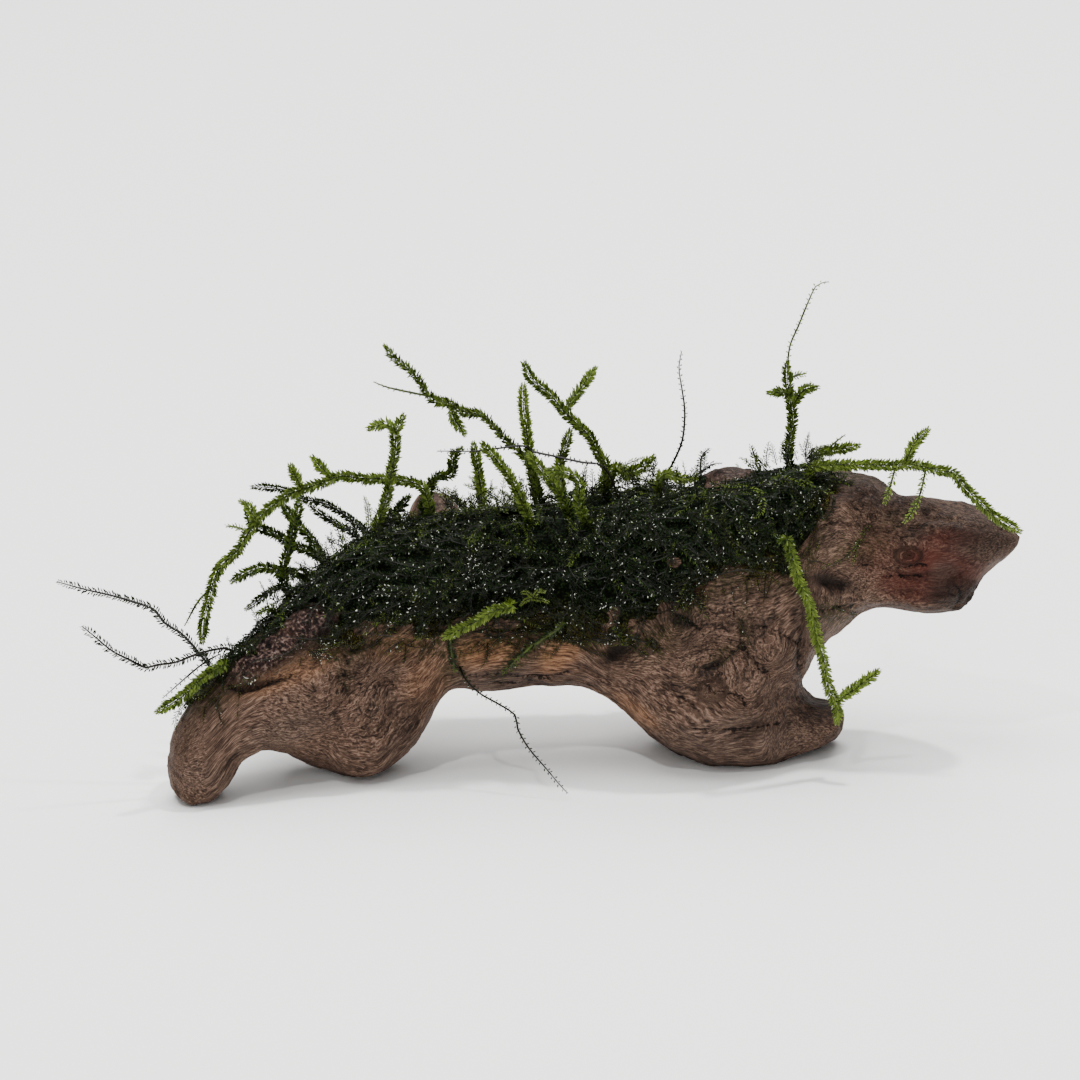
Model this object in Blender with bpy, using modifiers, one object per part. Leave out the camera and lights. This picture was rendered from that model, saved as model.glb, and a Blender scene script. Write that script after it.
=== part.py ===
"""Aquarium moss grown over a branching piece of driftwood.

Places are given as seen from the front: across to the right and rise, in millimetres, in the upright
picture plane through AIM, and depth, in millimetres behind that plane. The view comes from the front,
a little from above. The wood stands on z = 0 on the flat soles of its left foot, middle lobe and right foot.
"""

import math

import bmesh
import bpy
from mathutils import Matrix, Vector, noise
from mathutils.bvhtree import BVHTree

MM = 0.001

# How the object is seen
VIEW_TILT = math.radians(18.0)
VIEW_DISTANCE = 1100.0 * MM
AIM = Vector((0.1, 3.1, 40.5)) * MM
VIEW_DIRECTION = Vector((0.0, math.cos(VIEW_TILT), -math.sin(VIEW_TILT)))
VIEW_UP = Vector((0.0, math.sin(VIEW_TILT), math.cos(VIEW_TILT)))
EYE = AIM - VIEW_DIRECTION * VIEW_DISTANCE

# Clear space between pieces that touch
GAP = 0.3 * MM

# Wood
BALLS_BETWEEN_STATIONS = 3
WOOD_VOXEL = 1.0 * MM
OUTLINE_REACH = 60.0
WOOD_TRIANGLES = 2950
SMOOTH_JOINTS = 8
SMOOTH_RIM = 10
LUMP_HEIGHT = 0.9 * MM
LUMP_SIZE = Vector((24.0, 10.0, 9.0)) * MM
RIPPLE_HEIGHT = 0.45 * MM
RIPPLE_SIZE = Vector((13.0, 4.0, 3.6)) * MM

# Moss mat
MAT_THICKNESS = 4.6 * MM
MAT_EDGE_SHARE = 0.22
MAT_EDGE_WIDTH = 7.0 * MM
MAT_TUFT_SIZE = 7.0 * MM
MAT_BACK_LIMIT = 27.0 * MM

# Shoots
SHOOT_SIDES = 6
SAMPLE_STEP = 0.5 * MM
SHOOT_STEP = 4.2 * MM
LYING_STEP = 3.0 * MM
SHOOT_RADIUS = {"leafy": 0.85 * MM, "sparse": 0.5 * MM, "bare": 0.28 * MM}
ROOT_RADIUS = 0.3 * MM
TIP_RADIUS = 0.22 * MM
SWELL_LENGTH = 3.0 * MM
TIP_LENGTH = 2.5 * MM

# Outline of the wood, clockwise from under the left foot: (across, rise)
WOOD_OUTLINE = [
    (-63, -47.4), (-65.8, -45), (-66.8, -41), (-66.6, -37.2), (-64, -32), (-59.6, -26.6),
    (-55.4, -22.4), (-50, -18), (-43.2, -11.8), (-36, -6.4), (-28.8, -1.6), (-24.2, 1), (-23.4, 3.4),
    (-21.6, 7.8), (-19.4, 9), (-17, 7.8), (-14.8, 5.2), (-10.8, 4.2), (1.8, 4.6), (18, 6.2), (27, 8.6),
    (29.4, 11.2), (31, 13), (37.6, 12.8), (41, 11.6), (46.8, 11.8), (52.2, 12.6), (57.6, 11.6),
    (61.4, 9.8), (64.6, 7), (70.4, 6.8), (76.4, 6.8), (79.4, 5.2), (86.8, 0.8), (85.6, -1.6),
    (80.6, -5), (78, -9.6), (75.6, -12.6), (70.8, -13), (65.6, -12.2), (60.4, -11.4), (57.6, -12.2),
    (53.4, -15.4), (50.6, -17.8), (48.4, -20.2), (47.6, -25), (47.6, -28.8), (51.4, -29.6),
    (53.2, -29.4), (54.6, -31.8), (53.4, -34.4), (50.6, -37), (45.8, -38.6), (42, -40.4), (37.4, -41),
    (31.4, -40.6), (27.2, -39.6), (22.6, -36.8), (17.8, -33.2), (16.2, -31), (12, -28), (8, -26),
    (4.6, -25.6), (0.8, -26.2), (-2.4, -27), (-11, -27), (-13.8, -26.2), (-17, -27), (-19.6, -29.8),
    (-21, -33.2), (-22.8, -35.8), (-25.8, -38.6), (-29.6, -41.2), (-31.4, -42.6), (-37.2, -41),
    (-40.4, -40.4), (-45, -38.6), (-49, -36.8), (-51.4, -38.4), (-54, -39), (-54.6, -40.8),
    (-55.8, -43.4), (-58, -45.2), (-60.8, -47.4),
]

# Stations along each limb: (across, rise, depth, half width, half height, half depth)
WOOD_LIMBS = {
    "trunk": [
        (-46, -24, -10, 9, 11, 11), (-38, -19, -7, 10, 15, 13.5), (-29, -16, -3.5, 10, 17, 15),
        (-20, -13.5, 0, 10, 15.5, 15.5), (-10, -11.6, 2.5, 10, 15.6, 15), (0, -10.8, 4, 10, 15.6, 14.5),
        (9, -11, 4, 10, 17, 15.5), (18, -13, 2.5, 10, 20, 17.5), (27, -14, 1, 10, 23.5, 19.5),
        (35, -13, 1, 10, 24.5, 19.5), (42, -9, 2.5, 9, 21, 17.5), (50, -2.7, 5, 9, 15.5, 14),
    ],
    "right branch": [
        (50, -2.7, 5, 9, 15.5, 14), (57, -0.7, 6, 8, 13, 12), (63, -1.4, 5, 8, 11.6, 11),
        (70, -3, 3, 8, 11, 10.5), (76, -2.8, 1, 6, 10, 9), (80.5, -0.4, -0.5, 5, 5.8, 6.5),
        (85, 0, -1.5, 3, 2.8, 4),
    ],
    "left foot": [
        (-44, -25, -12, 10, 13, 13), (-50, -28.5, -16.5, 9, 9.5, 11), (-56.5, -33, -20.5, 8, 8, 9),
        (-60.5, -38, -23, 7, 7, 7.5), (-61.2, -43.2, -24, 5.5, 5.2, 6.5),
    ],
    "middle lobe": [
        (-33, -25, -7, 10, 11, 14), (-32.5, -33, -9, 9, 8.5, 12), (-32, -38.2, -10, 6.5, 5.5, 9.5),
    ],
    "middle lobe left": [
        (-38, -26, -9, 9, 10, 12), (-41, -31, -10, 8, 8.5, 10.5), (-42, -35, -10.5, 6, 6, 8),
    ],
    "middle lobe right": [
        (-24, -24, -4, 8, 10, 14), (-24.5, -30, -6.5, 6, 7.5, 11),
    ],
    "right foot": [
        (30, -24, 0, 10, 14, 18), (32, -31, 2, 11, 10, 17), (37, -31, 3, 11, 11.5, 17),
        (38.5, -36, 4, 10, 6.5, 15),
    ],
    "right foot heel": [
        (38, -31, 3, 9, 9, 14), (45, -33.5, 2.5, 8, 6.5, 11), (50, -33.2, 2, 6, 5.5, 8.5),
    ],
    "right foot inside": [
        (22, -22, 0, 8, 13, 17), (24, -29, -0.5, 8, 9.5, 14),
    ],
    "back knob": [
        (-17.5, -6, 9, 7, 8, 8), (-18.6, 1, 15, 5.5, 7, 6), (-19.2, 5, 18, 4.4, 5, 4.6),
    ],
    "back swelling": [
        (20, -14, 12, 8, 9, 9), (27, -13, 15, 10, 12, 9), (35, -17, 14, 8, 11, 8),
    ],
    "back shoulder": [
        (-31, -14, 4, 8, 9, 11), (-24, -10, 8, 8, 9, 10), (-15, -7, 10, 8, 9, 9),
    ],
    "top bump": [
        (33, 2, 4, 8, 8, 9), (34, 9.5, 6, 5, 5.5, 6),
    ],
}

# Ledges, knots and hollows on the wood: (across, rise, half length, half width, turn in degrees, height)
FRONT_MARKS = [
    (-50, -19.5, 9, 4.2, 32, 1.5), (-41.5, -15.5, 7, 3.6, 22, 1.3),
    (67, -2.6, 4.6, 3.4, 20, 1.0), (67, -2.6, 1.6, 1.2, 20, -1.0),
    (52.6, -7.8, 4.0, 1.9, -12, -1.9), (13.6, -20.5, 3.4, 2.2, 30, -1.8),
    (31, -24, 8, 1.5, 28, -0.9), (30, -27.8, 7, 1.5, 20, -0.8), (38.5, -21, 7, 1.4, -36, -0.8),
    (36, -31, 9, 2.2, 12, 0.9), (24, -31.5, 8, 1.6, -38, 0.8), (-6, -20.5, 12, 1.8, 4, 0.8),
    (-34, -30.5, 10, 2.0, 20, 0.8), (-30, -25, 9, 1.5, 28, -0.8), (-60, -34, 7, 1.6, 58, 0.6),
    (54, 6, 5, 2.0, 70, 0.9), (60, 4, 4, 1.6, 80, -0.8), (74, 1.5, 7, 1.5, -12, 0.8),
]
BACK_MARKS = [
    (30, -18, 6, 4.5, 20, 1.6), (30, -18, 2.2, 1.6, 20, -1.4), (-8, -15, 11, 1.8, 8, -1.0),
    (-34, -22, 9, 2.2, 24, 1.1), (10, -20, 9, 1.6, -10, 0.9), (48, -12, 6, 3.0, -40, -1.6),
    (66, -5, 7, 1.8, -8, 1.0), (40, -30, 8, 2.0, 10, 0.9), (-44, -28, 7, 1.5, 40, -0.8),
]

# Where the wood parts: the middle of each face (across, rise, depth), the way out of it (x, y, z)
# and the room that the limb takes there: (out, half across, half through)
FORKS = {
    "driftwood_left_foot": ((-55.6, -32.4, -19), (-0.82, -0.1, -0.57), (24, 12, 26)),
    "driftwood_middle_lobe": ((-33, -31.6, -9), (0.28, 0.0, -0.96), (16, 20, 30)),
    "driftwood_right_foot": ((32, -25.5, 2), (0.0, 0.0, -1.0), (22, 28, 34)),
    "driftwood_right_branch": ((57.2, 0, 5), (1.0, 0.0, 0.0), (36, 22, 34)),
    "driftwood_back_knob": ((-18.6, 1.8, 16), (-0.1, 0.35, 0.93), (14, 8, 8)),
}

# Lower edge of the moss mat on the front, from left to right: (across, rise)
MAT_LOWER_EDGE = [
    (-63, -29.5), (-54, -25.5), (-47, -21), (-40, -17.5), (-36, -20), (-30.5, -18), (-18, -18),
    (-3.5, -18), (3.5, -15.5), (11, -18), (18, -18), (25, -14.5), (29, -9), (34, -6.5), (39.5, -5.5),
    (47, -5.5), (50.5, 0), (52, 7), (53.5, 12),
]

# Bare wood inside the mat: (across, rise, depth from, radius)
MAT_HOLES = [(-19.2, 6.5, 9.0, 6.0), (34, 12.5, -20.0, 4.2)]

# Shoots, from root to tip: kind, depth at the root and at the tip, points (across, rise),
# then side shoots: (kind, depth added at the tip, points)
SHOOTS = {
    "moss_far_left_upper": ("sparse", -15, -11, [
        (-58.5, -24), (-62.5, -19), (-65, -16.5), (-67.5, -15), (-69.5, -12.5), (-72, -11.5),
        (-77, -10), (-81.5, -9), (-87, -7.5)], []),
    "moss_far_left_lower": ("sparse", -20, -27, [
        (-53.5, -19), (-59, -19.8), (-62.5, -20.8), (-65.5, -22), (-69, -22.5), (-71, -23),
        (-74, -21.5), (-77, -20), (-80, -17.5), (-82.5, -15.5)], []),
    "moss_foot_leafy": ("leafy", -24, -31, [
        (-57, -22.5), (-61, -25), (-63, -27), (-65.5, -29), (-69, -31)], []),
    "moss_foot_bare": ("bare", -17, -20, [(-57.5, -20.5), (-61, -22.5), (-68, -28.5)], []),
    "moss_arch": ("leafy", 3, -12, [
        (-21, 9.5), (-23.5, 10.5), (-28.5, 11), (-31.5, 11), (-36, 11.5), (-38.5, 10.5), (-41.5, 9.5),
        (-44.5, 8.5), (-47, 7), (-50, 4.5), (-53, 0.5), (-54.5, -2), (-58, -5.5), (-59.5, -10.5),
        (-60.5, -14.5), (-60.8, -18.5)],
        [("leafy", 1, [(-37.5, 11), (-39.5, 13.2), (-41, 15)]),
         ("leafy", -1, [(-42.8, 9), (-44, 11.5), (-45, 13.5)]),
         ("leafy", 2, [(-51, 3), (-52.3, 5.8), (-54, 7)]),
         ("sparse", 1, [(-52.5, 1.5), (-54.5, 2.3), (-56.5, 2.5)]),
         ("bare", -1, [(-59, -8.5), (-61.5, -11), (-64, -15.5)])]),
    "moss_left_high": ("leafy", -7, -9, [
        (-38, -5), (-41.5, -5.5), (-46, -6), (-49.5, -5), (-53, -6), (-55.5, -7.5)], []),
    "moss_left_middle": ("leafy", -12, -15, [
        (-44, -9), (-46.5, -8.3), (-49, -9.5), (-51.5, -11.5), (-53, -12.5)], []),
    "moss_left_low": ("leafy", -17, -18, [(-45, -13), (-47, -11.8), (-51, -13.3)], []),
    "moss_shoulder_dark": ("leafy", 5, 9, [
        (-31, 1.5), (-33, 3), (-36, 5), (-38.5, 6.5), (-43, 7.5), (-46, 9), (-49.5, 9.5),
        (-52, 9.5)], []),
    "moss_shoulder_short": ("leafy", 1, 2, [(-31.5, 0), (-35, 2), (-38.5, 4), (-41.5, 6.2)], []),
    "moss_shoulder_low": ("leafy", -4, 3, [
        (-37.5, -4), (-41.5, -2), (-44.5, -0.8), (-47.5, 1), (-51, 2.5), (-53, 5.5)], []),
    "moss_shoulder_upright": ("leafy", -11, -11, [
        (-46, -10.5), (-46, -7.5), (-46, -4), (-45, -1), (-44.5, 2), (-43.5, 5.5), (-43.5, 7.5)], []),
    "moss_shoulder_back": ("leafy", 9, 15, [
        (-39, -3.5), (-41.5, 0.5), (-43.5, 2.5), (-45, 4.5), (-46.5, 6.5)], []),
    "moss_bushy": ("leafy", -3, -1, [
        (-30, 1.5), (-28.5, 5), (-27.5, 8), (-27, 11), (-26.5, 13.5), (-26, 16.5), (-26, 19.5),
        (-24.5, 22.5)],
        [("leafy", 2, [(-26, 19), (-27.3, 20.8), (-28.5, 20.8), (-31, 20)])]),
    "moss_bushy_short": ("leafy", 7, 9, [(-30, 2), (-26, 5), (-23.5, 8)], []),
    "moss_slanting": ("leafy", 6, 14, [
        (0, 9), (-1.5, 13), (-3.5, 15.5), (-6, 18), (-8.5, 20.5), (-10.5, 22.5), (-13.5, 23),
        (-16, 24.5), (-18.5, 25), (-20.5, 26.5), (-22, 29), (-24, 31), (-26, 32.5), (-28, 35)],
        [("leafy", -3, [(-16, 24.3), (-15.5, 22), (-13.5, 19)]),
         ("bare", 1, [(-19.5, 25.8), (-23, 26.5), (-27.5, 27.5), (-30, 28.5)])]),
    "moss_crown_upright": ("leafy", 12, 15, [
        (-10.5, 5), (-10.5, 8.5), (-11, 11.5), (-11.5, 15), (-12, 17.5)], []),
    "moss_crown_level": ("bare", 1, -2, [
        (13, 11), (11, 13.5), (7.5, 14), (3, 15), (-1.5, 16), (-3, 17), (-7.5, 16.5), (-12, 16),
        (-16, 16), (-18.5, 16)], []),
    "moss_crown_left": ("leafy", 5, 4, [(-21, 6), (-19, 11), (-16, 12), (-15.5, 15), (-14, 16.5)], []),
    "moss_crown_dark": ("leafy", -5, -7, [(-2, 4), (-5, 10.5), (-7.5, 14), (-10.5, 17.5)], []),
    "moss_pair_left": ("leafy", 10, 10, [(-0.5, 6), (-2, 16.5), (-2.5, 20.5), (-3, 24), (-3, 28)], []),
    "moss_pair_right": ("leafy", 4, 5, [
        (12, 8), (11.5, 10.5), (12, 13.5), (10.5, 15.5), (9, 18.5), (6.5, 21), (4, 23.5), (2, 26),
        (-1.5, 29), (-3, 32)],
        [("leafy", 3, [(4.6, 23), (6, 25.5), (7.5, 27.5), (10, 31)])]),
    "moss_middle_slanting": ("leafy", -4, -4, [(5, 6), (2.5, 10), (0, 13), (-2, 15.5)], []),
    "moss_middle_low": ("leafy", -8, -8, [(7, 6), (7, 10.2), (5.5, 11.8), (3, 12.5), (1, 12.5)], []),
    "moss_middle_back": ("leafy", 14, 16, [(4, 6), (3.5, 12.5), (4, 15), (5.5, 20)], []),
    "moss_middle_right": ("leafy", 9, 8, [(11.5, 8), (13.5, 13), (15.5, 12.3), (18, 13), (20.5, 15)], []),
    "moss_tall_bare": ("bare", 9, 12, [
        (23, 7), (22.5, 11), (24, 14), (25.5, 17.5), (26, 21), (26, 24), (25.5, 27.5), (25, 31),
        (25.5, 34)], []),
    "moss_ridge_feathery": ("leafy", 1, 1, [(20.5, 8), (22, 11.7), (25, 11.3), (28, 10.5)], []),
    "moss_ridge_dark": ("sparse", 15, 25.2, [(29, 8), (29, 14.5), (30.5, 16.5)], []),
    "moss_ridge_short": ("sparse", 13, 13, [(40, 8), (39, 13.5), (38, 17)], []),
    "moss_tall_right": ("leafy", 7, 12, [
        (44, 10), (44.5, 14), (45, 18.5), (45.5, 22), (45, 25), (44.5, 29.5), (44.5, 32)],
        [("leafy", 1, [(45.2, 26), (44, 26.6), (41, 26.5)]),
         ("leafy", -2, [(45.4, 24), (47.5, 27), (50, 27.5)]),
         ("sparse", 0, [(44.6, 29), (46, 29.6), (48, 30)]),
         ("bare", 2, [(44.5, 31), (45, 35), (46.5, 38.5), (47.5, 41), (49, 44.5), (50, 46), (52, 46.5)])]),
    "moss_right_back": ("leafy", 12, 15, [(45.5, 12), (48, 15), (51.5, 16), (55, 16.5), (57.5, 17)],
        [("bare", 1, [(51.5, 16), (53, 17.5), (55, 19)])]),
    "moss_along_branch": ("leafy", 1, -8, [
        (46, 10), (49, 13), (53.5, 13.5), (58.5, 13.5), (63.5, 13.5), (67.5, 13.5), (72, 12.5),
        (74.5, 12), (76.5, 9.5), (79, 7), (81.5, 4.5), (84, 3), (86.5, 1.5)],
        [("leafy", 1, [(65.5, 13.2), (66.2, 15), (67.5, 17.5), (70, 20)]),
         ("sparse", -1, [(64, 13.2), (63, 9.5), (62, 6.5)]),
         ("sparse", -2, [(69.5, 13), (68.5, 8.5), (67, 5), (65.5, 3)])]),
    "moss_hanging_right": ("leafy", -18, -13, [
        (44.5, 0), (46.5, -7), (48.5, -11.5), (49.5, -16.5), (51, -21.5), (52, -26.5), (53.5, -30),
        (53.5, -33)],
        [("leafy", -2, [(53.2, -29.2), (57, -26.5), (61, -23.5)])]),
    "moss_hanging_bridge": ("bare", -16, -25.5, [
        (-13.5, -25), (-11, -27.5), (-7.5, -29.5), (-4.5, -31.5), (-4, -34), (-2, -37.5), (1, -41),
        (3.5, -44), (5, -45.6)], []),
}

# Strands that lie on the front of the wood, from root to tip: kind, points (across, rise)
LYING_STRANDS = {
    "moss_lying_bright": ("leafy", [(-5.5, -11.5), (-9, -12.3), (-12, -13.8), (-18, -16.8)]),
    "moss_lying_middle": ("sparse", [(4, -15), (-2, -19.3), (-7, -23)]),
    "moss_lying_left": ("sparse", [(-16.5, -17.5), (-16.2, -20.5), (-15.5, -23)]),
}

WOOD_COLOUR = (0.105, 0.062, 0.043, 1.0)
MAT_COLOUR = (0.013, 0.024, 0.009, 1.0)
SHOOT_COLOUR = (0.13, 0.26, 0.03, 1.0)
WET_ROUGHNESS = 0.35
WOOD_ROUGHNESS = 0.6


def clear_scene():
    for thing in list(bpy.data.objects):
        bpy.data.objects.remove(thing, do_unlink=True)


def new_collection(name):
    group = bpy.data.collections.new(name)
    bpy.context.scene.collection.children.link(group)
    return group


def new_material(name, colour, roughness):
    material = bpy.data.materials.new(name)
    material.use_nodes = True
    shader = material.node_tree.nodes["Principled BSDF"]
    shader.inputs["Base Color"].default_value = colour
    shader.inputs["Roughness"].default_value = roughness
    shader.inputs["Metallic"].default_value = 0.0
    material.diffuse_color = colour
    return material


def seen_at(across, rise, depth):
    """The point that is seen at (across, rise) from the front, at a depth, all in millimetres."""
    spot = AIM + Vector((across * MM, 0.0, 0.0)) + VIEW_UP * (rise * MM)
    share = (AIM.y + depth * MM - EYE.y) / (spot.y - EYE.y)
    return EYE + (spot - EYE) * share


def as_seen(point):
    """Across and rise, in millimetres, at which a point is seen from the front."""
    line = point - EYE
    spot = EYE + line * (VIEW_DISTANCE / line.dot(VIEW_DIRECTION)) - AIM
    return spot.x / MM, spot.dot(VIEW_UP) / MM


def new_object(name, mesh, group):
    thing = bpy.data.objects.new(name, mesh)
    group.objects.link(thing)
    return thing


def mesh_from(bm, name):
    mesh = bpy.data.meshes.new(name)
    bm.to_mesh(mesh)
    bm.free()
    return mesh


def add_modifier(thing, kind, **settings):
    modifier = thing.modifiers.new(kind.title(), kind)
    for key, value in settings.items():
        setattr(modifier, key, value)
    return modifier


def apply_modifiers(thing):
    """Make the object's mesh what its modifiers show."""
    graph = bpy.context.evaluated_depsgraph_get()
    mesh = bpy.data.meshes.new_from_object(thing.evaluated_get(graph))
    thing.modifiers.clear()
    thing.data = mesh


def cut(thing, operation, cutter):
    add_modifier(thing, "BOOLEAN", operation=operation, solver="EXACT", object=cutter)
    apply_modifiers(thing)


def hidden_cutter(name, mesh, group):
    cutter = new_object(name, mesh, group)
    cutter.hide_render = True
    cutter.display_type = "WIRE"
    return cutter


def limb_balls(bm, stations):
    """Balls along a limb, each stretched to the limb's width, height and depth there."""
    for start, end in zip(stations, stations[1:]):
        for step in range(BALLS_BETWEEN_STATIONS + 1):
            share = step / BALLS_BETWEEN_STATIONS
            across, rise, depth, width, height, thick = (
                a + (b - a) * share for a, b in zip(start, end))
            size = Matrix.Diagonal((width * MM, thick * MM, height * MM, 1.0))
            place = Matrix.Translation(seen_at(across, rise, depth)) @ size
            bmesh.ops.create_icosphere(bm, subdivisions=3, radius=1.0, matrix=place)


def outline_cutter(group):
    """A bar along the view with the wood's outline as its section."""
    curve = bpy.data.curves.new("wood outline", "CURVE")
    curve.dimensions = "2D"
    curve.fill_mode = "BOTH"
    curve.extrude = OUTLINE_REACH
    spline = curve.splines.new("POLY")
    spline.points.add(len(WOOD_OUTLINE) - 1)
    for corner, (across, rise) in zip(spline.points, WOOD_OUTLINE):
        corner.co = (across, rise, 0.0, 1.0)
    spline.use_cyclic_u = True
    flat = bpy.data.objects.new("wood outline", curve)
    group.objects.link(flat)
    graph = bpy.context.evaluated_depsgraph_get()
    mesh = bpy.data.meshes.new_from_object(flat.evaluated_get(graph))
    bpy.data.objects.remove(flat)
    bm = bmesh.new()
    bm.from_mesh(mesh)
    bmesh.ops.remove_doubles(bm, verts=bm.verts, dist=0.01)
    for vert in bm.verts:
        vert.co = seen_at(vert.co.x, vert.co.y, vert.co.z)
    bmesh.ops.recalc_face_normals(bm, faces=bm.faces)
    return hidden_cutter("wood_outline_cutter", mesh_from(bm, "wood outline bar"), group)


def mark_height(marks, across, rise):
    """Height that the ledges, knots and hollows add at a place, in metres."""
    height = 0.0
    for mark_across, mark_rise, length, width, turn, step in marks:
        cosine = math.cos(math.radians(turn))
        sine = math.sin(math.radians(turn))
        along = (across - mark_across) * cosine + (rise - mark_rise) * sine
        beside = (rise - mark_rise) * cosine - (across - mark_across) * sine
        reach = (along / length) ** 2 + (beside / width) ** 2
        if reach < 1.0:
            height += step * MM * (1.0 - reach) ** 2 * (1.0 + reach)
    return height


def stretched_noise(point, size):
    return noise.noise(Vector((point.x / size.x, point.y / size.y, point.z / size.z)))


def weather(mesh):
    """Lumps and ripples along the grain all over, and the marks on the front and the back."""
    moves = []
    for vert in mesh.vertices:
        across, rise = as_seen(vert.co)
        facing = vert.normal.dot(VIEW_DIRECTION)
        marks = FRONT_MARKS if facing < 0.0 else BACK_MARKS
        height = mark_height(marks, across, rise) * min(1.0, abs(facing) * 2.5)
        height += stretched_noise(vert.co, LUMP_SIZE) * LUMP_HEIGHT
        height += stretched_noise(vert.co, RIPPLE_SIZE) * RIPPLE_HEIGHT
        moves.append(vert.normal * height)
    for vert, move in zip(mesh.vertices, moves):
        vert.co += move


def level_soles(thing):
    """Cut the wood off flat at z = 0."""
    bm = bmesh.new()
    bm.from_mesh(thing.data)
    everything = bm.verts[:] + bm.edges[:] + bm.faces[:]
    result = bmesh.ops.bisect_plane(bm, geom=everything, dist=1e-7, plane_co=(0, 0, 0),
                                    plane_no=(0, 0, -1), clear_outer=True)
    rim = [part for part in result["geom_cut"] if isinstance(part, bmesh.types.BMEdge)]
    soles = bmesh.ops.holes_fill(bm, edges=rim)
    bmesh.ops.triangulate(bm, faces=soles["faces"])
    bm.to_mesh(thing.data)
    bm.free()


def whole_wood(group, cutters):
    """The driftwood in one piece: swollen limbs grown together, trimmed to the outline and weathered."""
    bm = bmesh.new()
    for stations in WOOD_LIMBS.values():
        limb_balls(bm, stations)
    wood = new_object("driftwood", mesh_from(bm, "driftwood"), group)
    add_modifier(wood, "REMESH", mode="VOXEL", voxel_size=WOOD_VOXEL)
    add_modifier(wood, "SMOOTH", factor=0.5, iterations=SMOOTH_JOINTS)
    apply_modifiers(wood)
    cut(wood, "INTERSECT", outline_cutter(cutters))
    add_modifier(wood, "REMESH", mode="VOXEL", voxel_size=WOOD_VOXEL)
    add_modifier(wood, "SMOOTH", factor=0.5, iterations=SMOOTH_RIM)
    apply_modifiers(wood)
    weather(wood.data)
    share = WOOD_TRIANGLES / (2.0 * len(wood.data.polygons))
    add_modifier(wood, "DECIMATE", decimate_type="COLLAPSE", ratio=share)
    apply_modifiers(wood)
    level_soles(wood)
    return wood


def fork_box(place, way, room, grow):
    """A box that takes in a limb out of its fork, its first face moved back by grow."""
    out, across, through = (size * MM for size in room)
    way = Vector(way).normalized()
    side = Vector((0.0, 1.0, 0.0)).cross(way).normalized()
    if side.length < 0.5:
        side = Vector((1.0, 0.0, 0.0))
    deep = way.cross(side).normalized()
    turn = Matrix((side, deep, way)).transposed().to_4x4()
    bm = bmesh.new()
    size = Matrix.Diagonal((2 * across + 2 * grow, 2 * through + 2 * grow, out + grow, 1.0))
    shift = Matrix.Translation(Vector(way) * ((out - grow) / 2))
    bmesh.ops.create_cube(bm, size=1.0, matrix=shift @ Matrix.Translation(seen_at(*place)) @ turn @ size)
    return mesh_from(bm, "fork box")


def keep_largest(thing):
    """Leave only the body with the most faces."""
    bm = bmesh.new()
    bm.from_mesh(thing.data)
    left = set(bm.faces)
    islands = []
    while left:
        island = []
        front = [left.pop()]
        while front:
            face = front.pop()
            island.append(face)
            for edge in face.edges:
                for other in edge.link_faces:
                    if other in left:
                        left.remove(other)
                        front.append(other)
        islands.append(island)
    islands.sort(key=len)
    loose = [face for island in islands[:-1] for face in island]
    bmesh.ops.delete(bm, geom=loose, context="FACES")
    bmesh.ops.triangulate(bm, faces=bm.faces)
    bm.to_mesh(thing.data)
    bm.free()


def split_at_forks(wood, group, cutters, material):
    """One object for each limb, and the trunk that is left."""
    trunk = new_object("driftwood_trunk", wood.data.copy(), group)
    limbs = [trunk]
    for name, (place, way, room) in FORKS.items():
        limb = new_object(name, trunk.data.copy(), group)
        cut(limb, "INTERSECT", hidden_cutter(name + "_box", fork_box(place, way, room, 0.0), cutters))
        cut(trunk, "DIFFERENCE", hidden_cutter(name + "_gap", fork_box(place, way, room, GAP), cutters))
        keep_largest(limb)
        limbs.append(limb)
    keep_largest(trunk)
    for limb in limbs:
        limb.data.materials.clear()
        limb.data.materials.append(material)
    return limbs


def lower_edge_at(across):
    """Rise of the mat's lower edge on the front."""
    for (x_a, rise_a), (x_b, rise_b) in zip(MAT_LOWER_EDGE, MAT_LOWER_EDGE[1:]):
        if x_a <= across <= x_b:
            return rise_a + (rise_b - rise_a) * (across - x_a) / (x_b - x_a)
    return None


def under_moss(centre, normal):
    """Whether the mat covers a place on the wood."""
    across, rise = as_seen(centre)
    depth = (centre.y - AIM.y) / MM
    edge = lower_edge_at(across)
    if edge is None:
        return False
    for hole_across, hole_rise, depth_from, radius in MAT_HOLES:
        if depth > depth_from and math.hypot(across - hole_across, rise - hole_rise) < radius:
            return False
    if normal.dot(VIEW_DIRECTION) < 0.0:
        return rise > edge
    return normal.z > -0.25 and centre.z > MAT_BACK_LIMIT


def trim_ragged_faces(bm):
    """Drop faces that hang on by one edge or one corner."""
    ragged = True
    while ragged:
        ragged = [face for face in bm.faces
                  if sum(edge.is_boundary for edge in face.edges) >= 2]
        for vert in bm.verts:
            open_edges = [edge for edge in vert.link_edges if edge.is_boundary]
            if len(open_edges) > 2:
                ragged.extend(open_edges[0].link_faces)
        bmesh.ops.delete(bm, geom=list(set(ragged)), context="FACES")


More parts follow.
